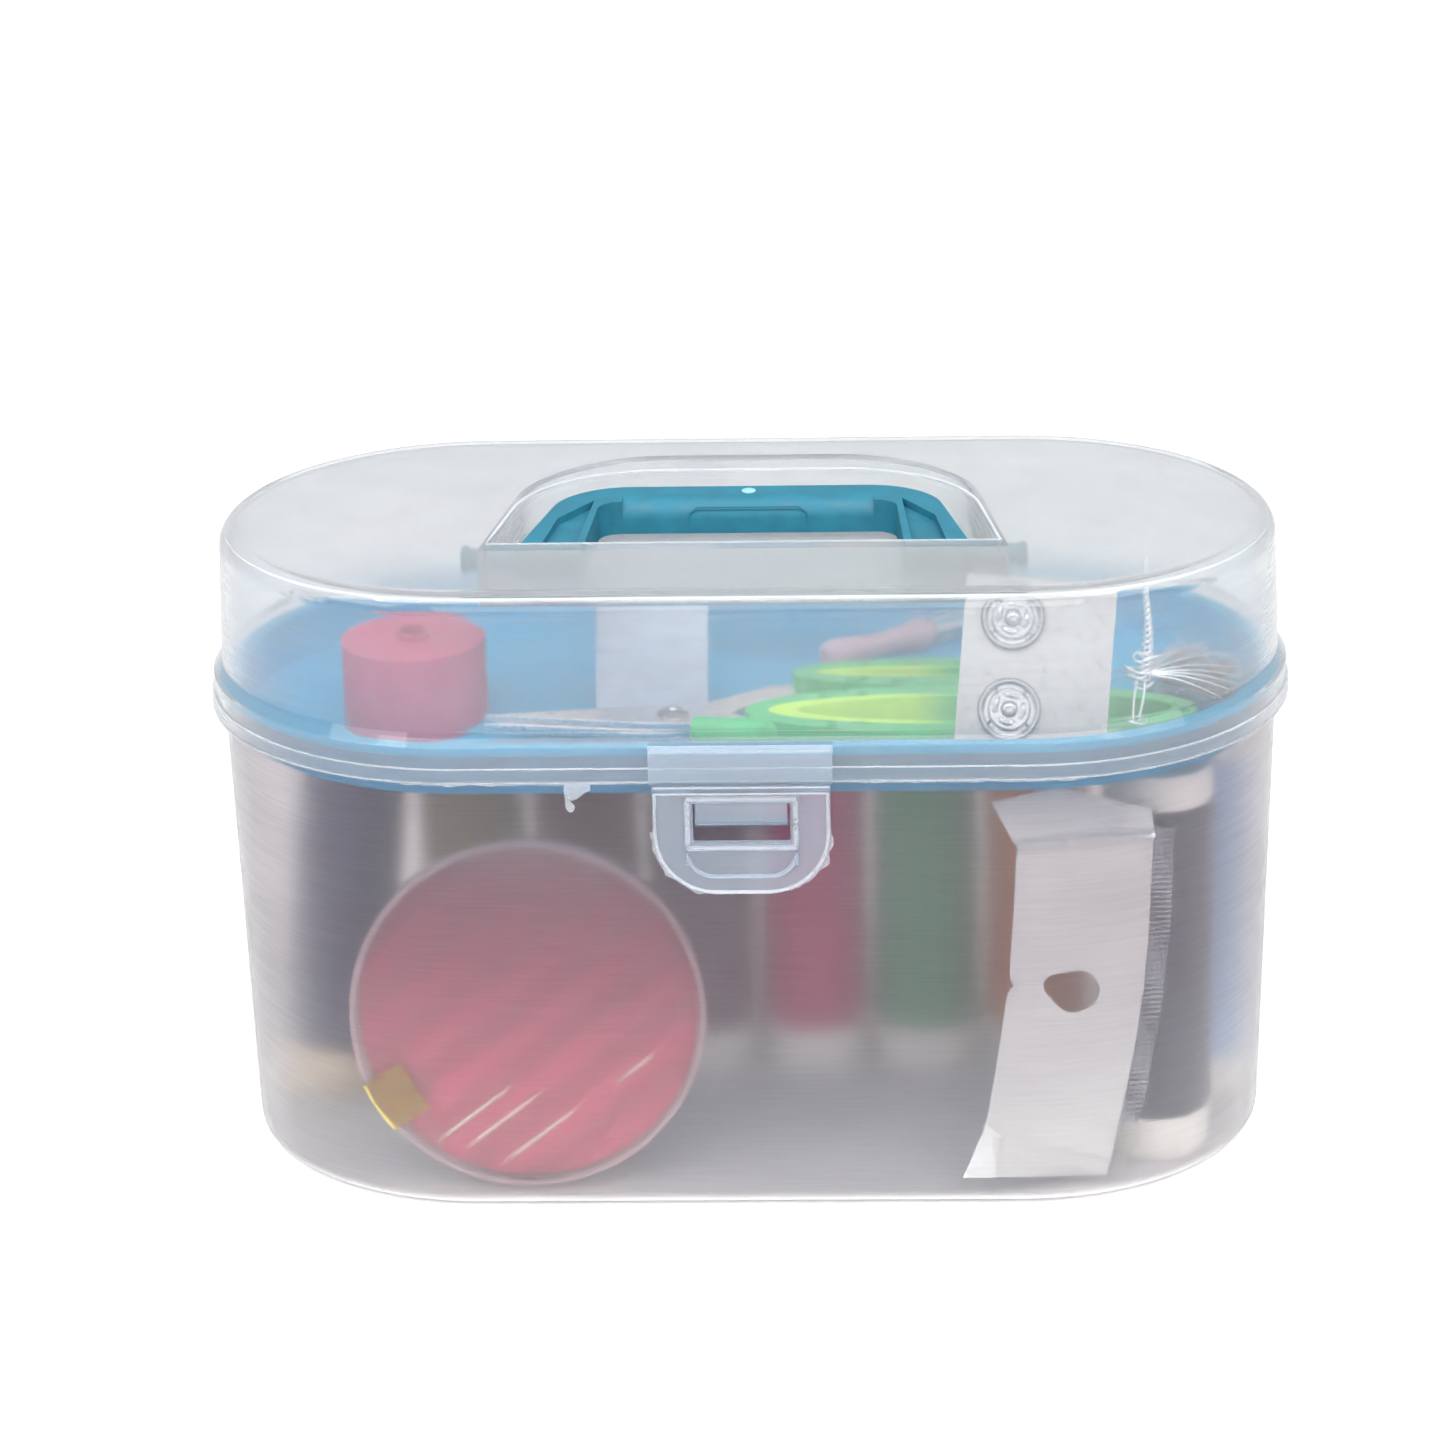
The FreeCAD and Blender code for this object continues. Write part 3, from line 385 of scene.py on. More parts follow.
def mix_colour(share, first, second):
    """A colour from first to second; each is a socket or three numbers."""
    mix = add_node(share.id_data, "ShaderNodeMix")
    mix.data_type = "RGBA"
    link(share, mix.inputs[0])
    link(first, mix.inputs[6])
    link(second, mix.inputs[7])
    return mix.outputs[2]


def mix_shaders(share, first, second):
    """Two shaders mixed; share is a socket or a number."""
    mix = add_node(first.id_data, "ShaderNodeMixShader")
    link(share, mix.inputs["Fac"])
    link(first, mix.inputs[1])
    link(second, mix.inputs[2])
    return mix.outputs["Shader"]


def colour_ramp(source, *stops):
    """Base colour from (position, colour) stops."""
    ramp = add_node(source.id_data, "ShaderNodeValToRGB")
    points = ramp.color_ramp.elements
    while len(points) < len(stops):
        points.new(0.5)
    for point, (position, colour) in zip(points, stops):
        point.position = position
        point.color = (*colour, 1.0)
    link(source, ramp.inputs["Fac"])
    link(ramp.outputs["Color"], shader_of(source.id_data).inputs["Base Color"])


def tint(source, dark, light, start=0.3, end=0.7):
    """Base colour that runs from dark to light with source."""
    colour_ramp(source, (start, dark), (end, light))


def fade_base(share, colour):
    """Run the base colour into another one."""
    base = shader_of(share.id_data).inputs["Base Color"]
    link(mix_colour(share, base.links[0].from_socket, colour), base)


def relief(source, depth, strength=1.0):
    """Bump of a depth in millimetres."""
    bump = add_node(source.id_data, "ShaderNodeBump", Strength=strength, Distance=depth * MM)
    normal = shader_of(source.id_data).inputs["Normal"]
    if normal.links:
        link(normal.links[0].from_socket, bump.inputs["Normal"])
    link(source, bump.inputs["Height"])
    link(bump.outputs["Normal"], normal)


# Materials

GRAZING_HAZE = 3.6
# The tub's colour and haze low on the wall, below its painted shade
TUB_LOW_UNSHADED_COLOUR = (0.97, 0.955, 0.96)
TUB_LOW_UNSHADED_HAZE = (0.43, 0.41, 0.42)
THICK_FOOT = (0.97, 0.96, 0.965)
NEEDLE_SLANT = 37.0


def clear_wall(name, colour, roughness, haze, haze_colour, streaks=0.001, scuffed=0.05, foot=0.0):
    """Moulded polypropylene: milky, scuffed in level streaks, blurring what lies behind it.

    streaks is the depth of the scuffs in mm, and foot the milkiness of the thick moulded foot; foot
    also turns on painted shade, the colour and haze growing darker higher up the wall.
    """
    sockets = {"Coat_Weight": 1.0, "Coat_Roughness": 0.05, "Coat_IOR": 1.45}
    material = plastic(name, colour, roughness, Transmission_Weight=1.0, IOR=1.15, **sockets)
    tree = material.node_tree
    surface = add_node(tree, "ShaderNodeNewGeometry")
    facing = add_node(tree, "ShaderNodeSeparateXYZ")
    link(surface.outputs["Normal"], facing.inputs["Vector"])
    upright = remap(calculate("ABSOLUTE", facing.outputs["Z"], 0.0), 1.0, 0.0, 0.25, 0.8)
    scuffs = pattern(tree, 1.6, stretch=(0.05, 0.05, 1.0), roughness=0.6)
    relief(calculate("MULTIPLY", scuffs, upright), streaks, 0.5)
    outside = add_node(tree, "ShaderNodeBsdfDiffuse", Color=(*haze_colour, 1.0))
    inside = add_node(tree, "ShaderNodeBsdfTranslucent", Color=(*haze_colour, 1.0))
    link(shader_of(tree).inputs["Normal"].links[0].from_socket, outside.inputs["Normal"])
    milk = mix_shaders(0.5, outside.outputs["BSDF"], inside.outputs["BSDF"])
    cloud = pattern(tree, 0.06, stretch=(1.0, 1.0, 1.6), detail=2.0)
    scratches = pattern(tree, 2.2, stretch=(0.03, 0.03, 1.0), detail=2.0)
    worn = calculate("MULTIPLY", remap(scratches, -scuffed, 1.2 * scuffed), upright)
    worn = calculate("ADD", worn, 1.0)
    share = calculate("MULTIPLY", remap(cloud, 0.86 * haze, 1.14 * haze), worn)
    graze = add_node(tree, "ShaderNodeLayerWeight", Blend=0.5)
    longer = remap(calculate("POWER", graze.outputs["Facing"], 3.0), 1.0, GRAZING_HAZE, 0.0, 1.0)
    share = calculate("MULTIPLY", share, longer)
    if foot:
        height = own_axis(tree, "Z")
        # Painted shade: the base colour runs from the low unshaded colour to the darker colour
        # higher up
        tint(height, TUB_LOW_UNSHADED_COLOUR, colour, 14 * MM, 46 * MM)
        thick = remap(height, foot, 0.0, 1.3 * MM, 2.6 * MM)
        share = calculate("ADD", share, thick)
        # Painted shade: the haze runs from the low unshaded haze to the darker haze_colour higher
        # up, and the thick foot is then whitened
        painted_shade_haze = mix_colour(remap(height, 0.0, 1.0, 10 * MM, 44 * MM), TUB_LOW_UNSHADED_HAZE, haze_colour)
        white = mix_colour(remap(thick, 0.0, 1.0, 0.0, foot), painted_shade_haze, THICK_FOOT)
        link(white, outside.inputs["Color"])
        link(white, inside.inputs["Color"])
    wall = mix_shaders(share, shader_of(tree).outputs["BSDF"], milk)
    link(wall, tree.nodes["Material Output"].inputs["Surface"])
    return material


def opaque(name, dark, light, roughness, grain=0.6, depth=0.01, **sockets):
    """A solid colour with a fine moulded or printed grain."""
    material = plastic(name, light, roughness, **sockets)
    tree = material.node_tree
    cloud = pattern(tree, grain, detail=4.0)
    tint(cloud, dark, light)
    link(remap(cloud, roughness * 0.85, roughness * 1.2), shader_of(tree).inputs["Roughness"])
    relief(pattern(tree, 4.0 * grain), depth)
    return material


def thread_material(name, colour):
    """Wound sewing thread: fine fibres along the turns, soft sheen and lighter crests."""
    dark = tuple(0.55 * c for c in colour)
    light = tuple(min(1.0, 1.35 * c + 0.01) for c in colour)
    material = plastic(name, colour, 0.62, Sheen_Weight=0.35, Sheen_Roughness=0.45)
    stretch = (0.35, 0.35, 2.4)
    fibres = pattern(material.node_tree, 1.1, stretch=stretch, detail=4.0, roughness=0.6)
    tint(fibres, dark, light)
    relief(fibres, 0.06)
    return material


def steel(name, colour, roughness, stretch=(1.0, 1.0, 1.0)):
    """Metal with fine grinding lines."""
    material = plastic(name, colour, roughness, Metallic=1.0)
    tree = material.node_tree
    lines = pattern(tree, 3.0, stretch=stretch)
    link(remap(lines, 0.7 * roughness, 1.3 * roughness), shader_of(tree).inputs["Roughness"])
    relief(lines, 0.004)
    return material


def crumpled(name, colour, roughness, scale, depth, strength=1.0, **sockets):
    """Glossy plastic, film or foil with soft dents."""
    material = plastic(name, colour, roughness, **sockets)
    relief(pattern(material.node_tree, scale), depth, strength)
    return material


def crisp_clear(name, colour, roughness=0.04):
    """Thin glossy clear plastic or film."""
    return crumpled(name, colour, roughness, 0.5, 0.03, 0.5, Transmission_Weight=1.0, IOR=1.35)


def lime_material():
    """Soft lime pad that runs into the green of the bow away from the thumb's side."""
    colours = (0.50, 0.84, 0.06), (0.60, 0.92, 0.12)
    material = opaque("lime grip", *colours, 0.5, grain=0.4, depth=0.03)
    right = own_axis(material.node_tree, "X")
    fade_base(remap(right, 0.0, 1.0, 30.0 * MM, 38.0 * MM), (0.010, 0.62, 0.17))
    return material


def crimped_material():
    """Clear film strip with pressed cross ribs, alternately milky and clear: a painted highlight on
    the ribs.
    """
    colours = (0.96, 0.97, 0.98), 0.08, 0.36, (0.66, 0.68, 0.74)
    material = clear_wall("crimped film", *colours)
    ribs = wave_bands(material.node_tree, 0.32, 0.4)
    relief(ribs, 0.12)
    output = material.node_tree.nodes["Material Output"]
    milkiness = output.inputs["Surface"].links[0].from_node.inputs["Fac"]
    # Painted highlight: the milkiness rises and falls with the ribs
    rib_highlight_stripes = remap(ribs, 0.05, 2.6, 0.35, 0.65)
    link(calculate("MULTIPLY", milkiness.links[0].from_socket, rib_highlight_stripes), milkiness)
    return material


def foil_material():
    """Red metallised card with darker slanting bands, in shade towards its top."""
    material = plastic("needle foil", (0.80, 0.03, 0.07), 0.42, Specular_IOR_Level=0.15)
    tree = material.node_tree
    slanting = wave_bands(tree, 0.036, 0.6, NEEDLE_SLANT)
    tint(slanting, (0.56, 0.006, 0.095), (0.76, 0.010, 0.14), 0.2, 0.85)
    fade_base(remap(own_axis(tree, "Z"), 0.0, 1.0, 22.0 * MM, 62.0 * MM), (0.20, 0.008, 0.065))
    relief(pattern(tree, 1.5), 0.02)
    return material


def gold_material():
    """Metallised sticker whose colour runs from gold to green and pink in small cells."""
    material = plastic("gold sticker", (0.85, 0.62, 0.12), 0.22, Metallic=0.85)
    tree = material.node_tree
    colour_ramp(
        pattern(tree, 0.9, detail=1.0, distortion=1.2),
        (0.3, (0.16, 0.05, 0.01)),
        (0.45, (0.42, 0.20, 0.03)),
        (0.6, (0.17, 0.18, 0.04)),
        (0.75, (0.50, 0.16, 0.09)),
    )
    relief(pattern(tree, 2.0, detail=2.0), 0.03)
    return material


TUB_PLASTIC, LID_PLASTIC, LATCH_PLASTIC, TRAY_PLASTIC = (
    clear_wall(*looks)
    for looks in (
        # The tub's colour and haze here are the darker upper tones of its painted shade
        ("tub plastic", (0.88, 0.85, 0.87), 0.33, 0.12, (0.22, 0.185, 0.21), 0.008, 0.30, 0.9),
        ("lid plastic", (0.95, 0.957, 0.965), 0.16, 0.165, (0.535, 0.548, 0.565), 0.003, 0.20),
        ("latch plastic", (0.93, 0.96, 0.99), 0.16, 0.24, (0.58, 0.67, 0.78), 0.001, 0.04),
        ("tray plastic", (0.22, 0.76, 0.97), 0.42, 0.68, (0.045, 0.55, 0.84), 0.004, 0.06),
    )
)
FLASH_AND_HIGHLIGHT_PLASTIC, RIM_PLASTIC, BROW_HIGHLIGHT_PLASTIC, RING_HIGHLIGHT_PLASTIC = (
    clear_wall(*looks)
    for looks in (
        # Milky white for the real flash, tag and droplet and for the edge lines; this whiteness is
        # a painted highlight
        ("flash plastic painted highlight", (0.97, 0.98, 1.0), 0.10, 0.24, (0.92, 0.94, 0.98)),
        ("case rim", (0.995, 0.98, 0.985), 0.05, 0.025, (0.95, 0.80, 0.84)),
        # Milky white for the lid's brow line, a painted highlight
        ("lid brow painted highlight", (0.98, 0.985, 0.99), 0.10, 0.45, (0.95, 0.97, 0.98)),
        # Pale milky pink for the case's ring, a painted highlight
        ("case ring painted highlight", (0.98, 0.94, 0.95), 0.10, 0.60, (0.97, 0.80, 0.84)),
    )
)
PALE_TEAL = opaque("gate mark", (0.20, 0.46, 0.56), (0.30, 0.58, 0.66), 0.3, 1.0)
TEALS = (0.007, 0.125, 0.19), (0.011, 0.165, 0.245)
HANDLE_PLASTIC = opaque("handle plastic", *TEALS, 0.66, 0.25, Specular_IOR_Level=0.3)
SPOOL_PLASTIC = opaque("spool plastic", (0.78, 0.76, 0.72), (0.90, 0.88, 0.84), 0.45, 0.3)
CREAM_PLASTIC = opaque("cream plastic", (0.80, 0.63, 0.44), (0.90, 0.75, 0.56), 0.45, 0.3)
WHITES = (0.40, 0.40, 0.405), (0.46, 0.46, 0.465)
HEADER_WHITES = (0.57, 0.575, 0.58), (0.65, 0.655, 0.66)
PAPER = opaque("coated card", *WHITES, 0.30, 0.5, 0.012, Coat_Weight=0.25)
HEADER_PAPER = opaque("header card", *HEADER_WHITES, 0.30, 0.5, 0.012, Coat_Weight=0.4)
PACKET_PAPER = opaque("packet paper", (0.36, 0.43, 0.54), (0.43, 0.50, 0.60), 0.5, 0.3, 0.02)
CELLOPHANE = crisp_clear("cellophane", (0.97, 0.98, 0.99), 0.06)
CAP_PLASTIC = crisp_clear("case plastic", (0.99, 0.97, 0.98))
GLINT = {"Metallic": 0.75, "Transmission_Weight": 0.5}
GLINT_FILM = crumpled("twisted cellophane", (0.92, 0.94, 0.97), 0.12, 1.2, 0.05, **GLINT)
BRIGHT_METAL = steel("bright metal", (0.42, 0.43, 0.45), 0.12)
BLADE_STEEL = steel("blade steel", (0.80, 0.76, 0.78), 0.30, stretch=(0.1, 2.0, 1.0))
NEEDLE_STEEL = steel("needle steel", (0.95, 0.88, 0.74), 0.25)
BOW_GREEN = opaque("bow green", (0.004, 0.46, 0.13), (0.008, 0.56, 0.17), 0.30, 0.2)
TAPE_PINK = opaque("tape coating", (0.45, 0.032, 0.135), (0.52, 0.06, 0.18), 0.5, 0.3)
RIPPER_PINK = opaque("ripper plastic", (0.50, 0.33, 0.42), (0.57, 0.40, 0.49), 0.32, 0.3)
BUTTON_DARK = opaque("button plastic", (0.012, 0.018, 0.045), (0.03, 0.04, 0.09), 0.22, 0.5)
LIME = lime_material()
FILM = crimped_material()

for node, material in (("tub", TUB_PLASTIC), ("lid", LID_PLASTIC), ("tray", TRAY_PLASTIC)):
    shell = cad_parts[node]
    shell.data.materials.clear()
    shell.data.materials.append(material)


# Handle and latch


def make_handle():
    """Moulded handle with rounded edges, a gate mark, an outline on the grip and two pin heads."""
    handle = rounded_copy("handle", "handle_moulding", 0.45, 3)
    finish(handle, HANDLE, HANDLE_PLASTIC, "handle")
    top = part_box("handle")[1]
    gate_place = Matrix.Translation((0, top.y - 3.2 * MM, top.z - 0.05 * MM))
    gate_profile = (0, 0), (1.3, 0), (1.3, 0.25), (0.9, 0.45), (0, 0.3)
    finish(lathe("handle_gate_mark", gate_profile, gate_place, 24), HANDLE, PALE_TEAL)
    panel = (-11, 110.2), (-10.6, 113.2), (-9.2, 114.3), (9.2, 114.3), (10.6, 113.2), (11, 110.2)
    outline = [mm(x, 11.05, z) for x, z in panel]
    bead("handle_panel_line", outline, 0.16, HANDLE, HANDLE_PLASTIC)
    pin_profile = (0, 0), (2.1, 0), (2.45, 0.3), (2.45, 1.0), (2.0, 1.5), (0, 1.5)
    for number, side in ((1, -1), (2, 1)):
        place = turned_place(mm(48.9 * side, -13.5, 112.3), ("Y", 90 * side))
        collar = lathe(f"handle_pin_head_{number}", pin_profile, place, 32)
        finish(collar, HANDLE, HANDLE_PLASTIC)


def rounded_outline(half_width, top, foot, radius, steps=10):
    """A U: down one side, round the foot and up the other, as (x, z) points."""
    quarter = [pi / 2 * step / steps for step in range(steps + 1)]
    inset = half_width - radius
    level = foot + radius
    points = [(-half_width, top)]
    points += [(-inset - radius * cos(turn), level - radius * sin(turn)) for turn in quarter]
    points += [(inset + radius * sin(turn), level - radius * cos(turn)) for turn in quarter]
    return points + [(half_width, top)]


def ragged_strip(name, path, outward, reach, seed):
    """Thin moulding flash along a path: a fin towards outward(point) whose reach is uneven."""
    offset = random.Random(seed).random() * 50
    side = mm(0, 0.08, 0)
    vertices = []
    for i, point in enumerate(path):
        rough = 0.6 * drift(i * 0.23 + offset, 0, 0) + 0.4 * drift(i * 0.9 + offset, 3, 0)
        sway = mm(0, 0.3 * drift(i * 0.4, 7, offset), 0)
        tip = point + outward(point) * reach * MM * max(0.12, 0.45 + rough) + sway
        vertices += [point - side, point + side, tip + side * 0.4, tip - side * 0.4]
    return from_faces(name, vertices, rod_faces(len(path) - 1, 4))


def make_plate(name, owner, half_width, bottom, top, y):
    """A thin upright plate, a little bowed, with its sizes in millimetres."""

    def plate_point(u, v):
        return mm((2 * u - 1) * half_width, y - 0.1 * sin(pi * v), bottom + (top - bottom) * v)

    finish(thin_sheet(name, 12, 6, plate_point, 0.3), owner, LATCH_PLASTIC)


def make_latch():
    """Clear latch flap: edge bead, faint inner arcs, framed window, fold lines and ragged flash;
    the edge bead, window frame, fold lines and flash are milky white, a painted highlight.
    """
    latch = rounded_copy("latch", "latch_moulding", 0.3, 3)
    finish(latch, LATCH, LATCH_PLASTIC, "latch")
    low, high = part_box("latch")
    face = low.y

    # Painted highlight: by default these beads are milky white lines on the latch's edges; the
    # inner arcs keep the latch's own plastic
    def front_bead(name, outline, radius, material=FLASH_AND_HIGHLIGHT_PLASTIC):
        path = [Vector((x, face + 0.55 * radius * MM, z)) for x, z in outline]
        bead(name, path, radius, LATCH, material, 10)

    edge = rounded_outline(high.x - 0.45 * MM, high.z - 1.8 * MM, low.z + 0.45 * MM, 10.6 * MM)
    front_bead("latch_edge_highlight_bead", edge, 0.30)
    inner = rounded_outline(high.x - 6.0 * MM, low.z + 5.6 * MM, low.z + 3.4 * MM, 4.6 * MM)
    front_bead("latch_inner_bead", inner, 0.35, LATCH_PLASTIC)
    window_half, window_rise, window_middle = 9.4 * MM, 4.55 * MM, 76.95 * MM
    window = []
    for step in range(33):
        angle = TURN * step / 32
        across = clamp(1.5 * cos(angle)) * window_half
        window.append((across, window_middle + clamp(1.5 * sin(angle)) * window_rise))
    front_bead("latch_window_highlight_bead", window, 0.42)
    for i, height in enumerate((0.35, 1.5)):
        line = [(t * (high.x - 0.3 * MM), high.z - height * MM) for t in (-1, 0, 1)]
        front_bead(f"latch_fold_highlight_line_{i}", line, 0.16)
    make_plate("lid_latch_plate", LID, 15.9, 84.85, 90.9, face / MM + 0.05)
    make_plate("tub_catch_face", ("tub_body", "clear_tub"), 8.0, 76.8, 81.0, -50.75)
    border = rounded_outline(high.x - 0.1 * MM, high.z - 9 * MM, low.z + 0.1 * MM, 10.9 * MM, 24)
    depth = face + 1.3 * MM
    centre = Vector((0, depth, (low.z + high.z) / 2 + 2 * MM))
    path = [Vector((x, depth, z)) for x, z in border]
    flash = ragged_strip("latch_flash", path, lambda p: (p - centre).normalized(), 1.3, 4)
    finish(flash, LATCH, FLASH_AND_HIGHLIGHT_PLASTIC)


# Flash of the lid, and painted highlights along its edges

LIP_RADIUS = 48.9 * MM
SHOULDER_RADIUS = 44.85 * MM


def lid_front(radius, height, distances):
    """Points along the front of the lid's plan, at distances in millimetres from its middle."""
    half_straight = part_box("lid")[1].x - LIP_RADIUS
    path = []
    for distance in distances:
        along = abs(distance) * MM
        turn = max(0.0, along - half_straight) / radius
        x = min(along, half_straight) + radius * sin(turn)
        path.append(Vector((x if distance > 0 else -x, -radius * cos(turn), height)))
    return path


def make_lid_flash():
    """Uneven milky flash under the lip, a tag and a droplet by the latch, and milky lines along the
    lid's front edges; the milky white of all these is a painted highlight.
    """
    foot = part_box("latch")[1].z - 0.25 * MM
    for side, start, reach, seed in (("left", -60.0, 0.45, 2), ("right", 17.5, 0.4, 9)):
        distances = [start + 42.5 * i / 53 for i in range(54)]
        path = lid_front(LIP_RADIUS - 0.1 * MM, foot, distances)
        flash = ragged_strip("lid_flash_" + side, path, lambda p: -UP, reach, seed)
        finish(flash, LID, FLASH_AND_HIGHLIGHT_PLASTIC)
    root = Vector((-28.5 * MM, -LIP_RADIUS, foot))

    def tag_point(u, v):
        ripple = 0.2 - 0.25 * sin(3 * u + 2 * v)
        return root + mm((u - 0.5) * 4.6, ripple, -v * (2.3 + 0.8 * sin(5 * u)))

    finish(thin_sheet("lid_flash_tag", 10, 6, tag_point, 0.18), LID, FLASH_AND_HIGHLIGHT_PLASTIC)
    droop = (0, 1.9), (0, 2.8), (0.15, 3.6), (0.45, 4.3), (0.7, 4.9), (0.85, 5.2)
    path = [root + mm(x - 1.8, 0.1, -z) for x, z in droop]
    radii = 0.35, 0.4, 0.55, 0.8, 0.6, 0.15
    bead("lid_flash_drop", path, radii, LID, FLASH_AND_HIGHLIGHT_PLASTIC, 12)
    # Painted highlight: a milky line along the front of the top fillet, where the softboxes'
    # reflection falls; the lid has no bead there
    steps = range(-100, 101)
    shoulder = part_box("lid")[1].z - 1.05 * MM
    path = lid_front(SHOULDER_RADIUS, shoulder, [1.1 * step for step in steps])
    girths = [0.30 * min(1.0, (100.5 - abs(step)) / 35) for step in steps]
    bead("lid_brow_highlight", path, girths, LID, BROW_HIGHLIGHT_PLASTIC)
    # Painted highlights: milky lines along the lip, where its edges catch the light
    for i, (height, radius) in enumerate(((86.5, 48.7), (83.95, 48.75))):
        path = lid_front(radius * MM, height * MM, [0.9 * step for step in range(-130, 131)])
        bead(f"lid_lip_highlight_line_{i}", path, 0.2, LID, FLASH_AND_HIGHLIGHT_PLASTIC)


def make_recess_lines():
    """Rounded milky lines along the top of the handle recess and along the foot of its front wall:
    painted highlights where these edges catch the light.
    """
    front, back = -18.0, 32.5
    front_half, back_half, corner = 45.5, 37.1, 26.0
    slope = atan2(front_half - back_half, back - front)
    reach = corner * tan((pi / 2 + slope) / 2)
    end = Vector((back_half + sin(slope) * reach, back - cos(slope) * reach))
    centre = end - Vector((cos(slope), sin(slope))) * corner
    start = Vector((front_half, front))
    half = [start.lerp(end, t / 6) for t in range(7)]
    for step in range(1, 19):
        angle = slope + (pi / 2 - slope) * step / 18
        half.append(centre + Vector((cos(angle), sin(angle))) * corner)
    outline = half + [Vector((-p.x, p.y)) for p in reversed(half)] + half[:1]
    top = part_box("lid")[1].z / MM
    rim = [mm(p.x, p.y, top - 0.1) for p in outline]
    bead("recess_lip_highlight", rim, 0.26, LID, FLASH_AND_HIGHLIGHT_PLASTIC)
    foot = [mm(x, front + 0.25, top - 9.0) for x in range(-45, 46, 5)]
    bead("recess_sill_highlight", foot, 0.28, LID, FLASH_AND_HIGHLIGHT_PLASTIC)


# Thread reels

THREAD_COLOURS = {
    "navy": (0.010, 0.016, 0.10),
    "olive": (0.24, 0.19, 0.085),
    "brown": (0.085, 0.010, 0.036),
    "grey": (0.19, 0.095, 0.15),
    "magenta": (0.56, 0.015, 0.15),
    "green": (0.045, 0.30, 0.14),
    "orange": (0.62, 0.18, 0.045),
    "black": (0.035, 0.038, 0.075),
    "light_blue": (0.22, 0.38, 0.66),
}
NAVY_LEAN = 5.6
SPOOL_CORE = 4.5


def make_reel(colour):
    """A plastic spool with beaded flanges and its thread wound in a fine helix."""
    low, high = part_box("spool_olive")
    wound_low, wound_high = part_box("thread_olive")
    own_low, own_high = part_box("spool_" + colour)
    lean = NAVY_LEAN if colour == "navy" else 0.0
    corner = polar((high.x - low.x) / 2, radians(lean))
    stand = (own_low.x + corner.x, (own_low.y + own_high.y) / 2, own_low.z + corner.y)
    place = turned_place(stand, ("Y", lean))
    r = (high.x - low.x) / 2 / MM
    top = (high.z - low.z) / MM
    foot = (wound_low.z - low.z) / MM
    head = (wound_high.z - low.z) / MM
    profile = (
        *((2.9, 0.6), (3.4, 0), (r - 0.75, 0), (r - 0.2, 0.2), (r, 0.8)),
        *((r, foot - 1.2), (r - 0.2, foot - 0.3), (r - 0.7, foot), (SPOOL_CORE, foot + 0.05)),
        *((SPOOL_CORE, head - 0.05), (r - 0.7, head), (r - 0.2, head + 0.3), (r, head + 1.2)),
        *((r, top - 0.8), (r - 0.2, top - 0.2), (r - 0.75, top), (r - 1.3, top)),
        *((r - 1.7, top - 0.8), (4.1, top - 0.8), (3.7, top), (3.4, top), (2.9, top - 0.6)),
    )
    spool = lathe("reel_spool_" + colour, profile, place, 72)
    looks = ("spool_cream", CREAM_PLASTIC) if colour == "navy" else ("spool_white", SPOOL_PLASTIC)
    finish(spool, ("tub_body", looks[0]), looks[1], "spool_" + colour)

    wound = (wound_high.x - wound_low.x) / 2 / MM + 0.45
    rings = int((wound_high.z - wound_low.z) / MM * 4)
    heights = [foot + 0.02 + (head - foot - 0.04) * i / rings for i in range(rings + 1)]

    def turns(angle, i):
        """Ridges a millimetre apart, a soft swell and rounded ends."""
        if i == 0 or i == rings + 2:
            return 0
        z = heights[i - 1]
        ends = min(1.0, (z - foot) / 1.2, (head - z) / 1.2)
        ridges = 0.10 * sin(TURN * z + angle)
        swell = 0.16 * drift(cos(angle) * 0.4, sin(angle) * 0.4, z / 6 + len(colour) * 3.7)
        return ridges + swell - 0.75 * (1 - ends)

    inner = SPOOL_CORE - 0.2
    profile = [(inner, heights[0]), *((wound, z) for z in heights), (inner, heights[-1])]
    thread = lathe("reel_thread_" + colour, profile, place, 44, turns)
    material = thread_material("thread " + colour, THREAD_COLOURS[colour])
    finish(thread, ("tub_body", "thread_" + colour), material, "thread_" + colour)


# Needle case: its own +Z faces the front and a little up, +X runs right and +Y up

CASE_HALF = 2.5
FOIL_LOW = -0.62
NEEDLES = ((-17.0, -24.0, 17.5), (-11.5, -25.0, 17.5), (-5.0, -28.0, 17.5), (15.5, -13.2, 9.0))


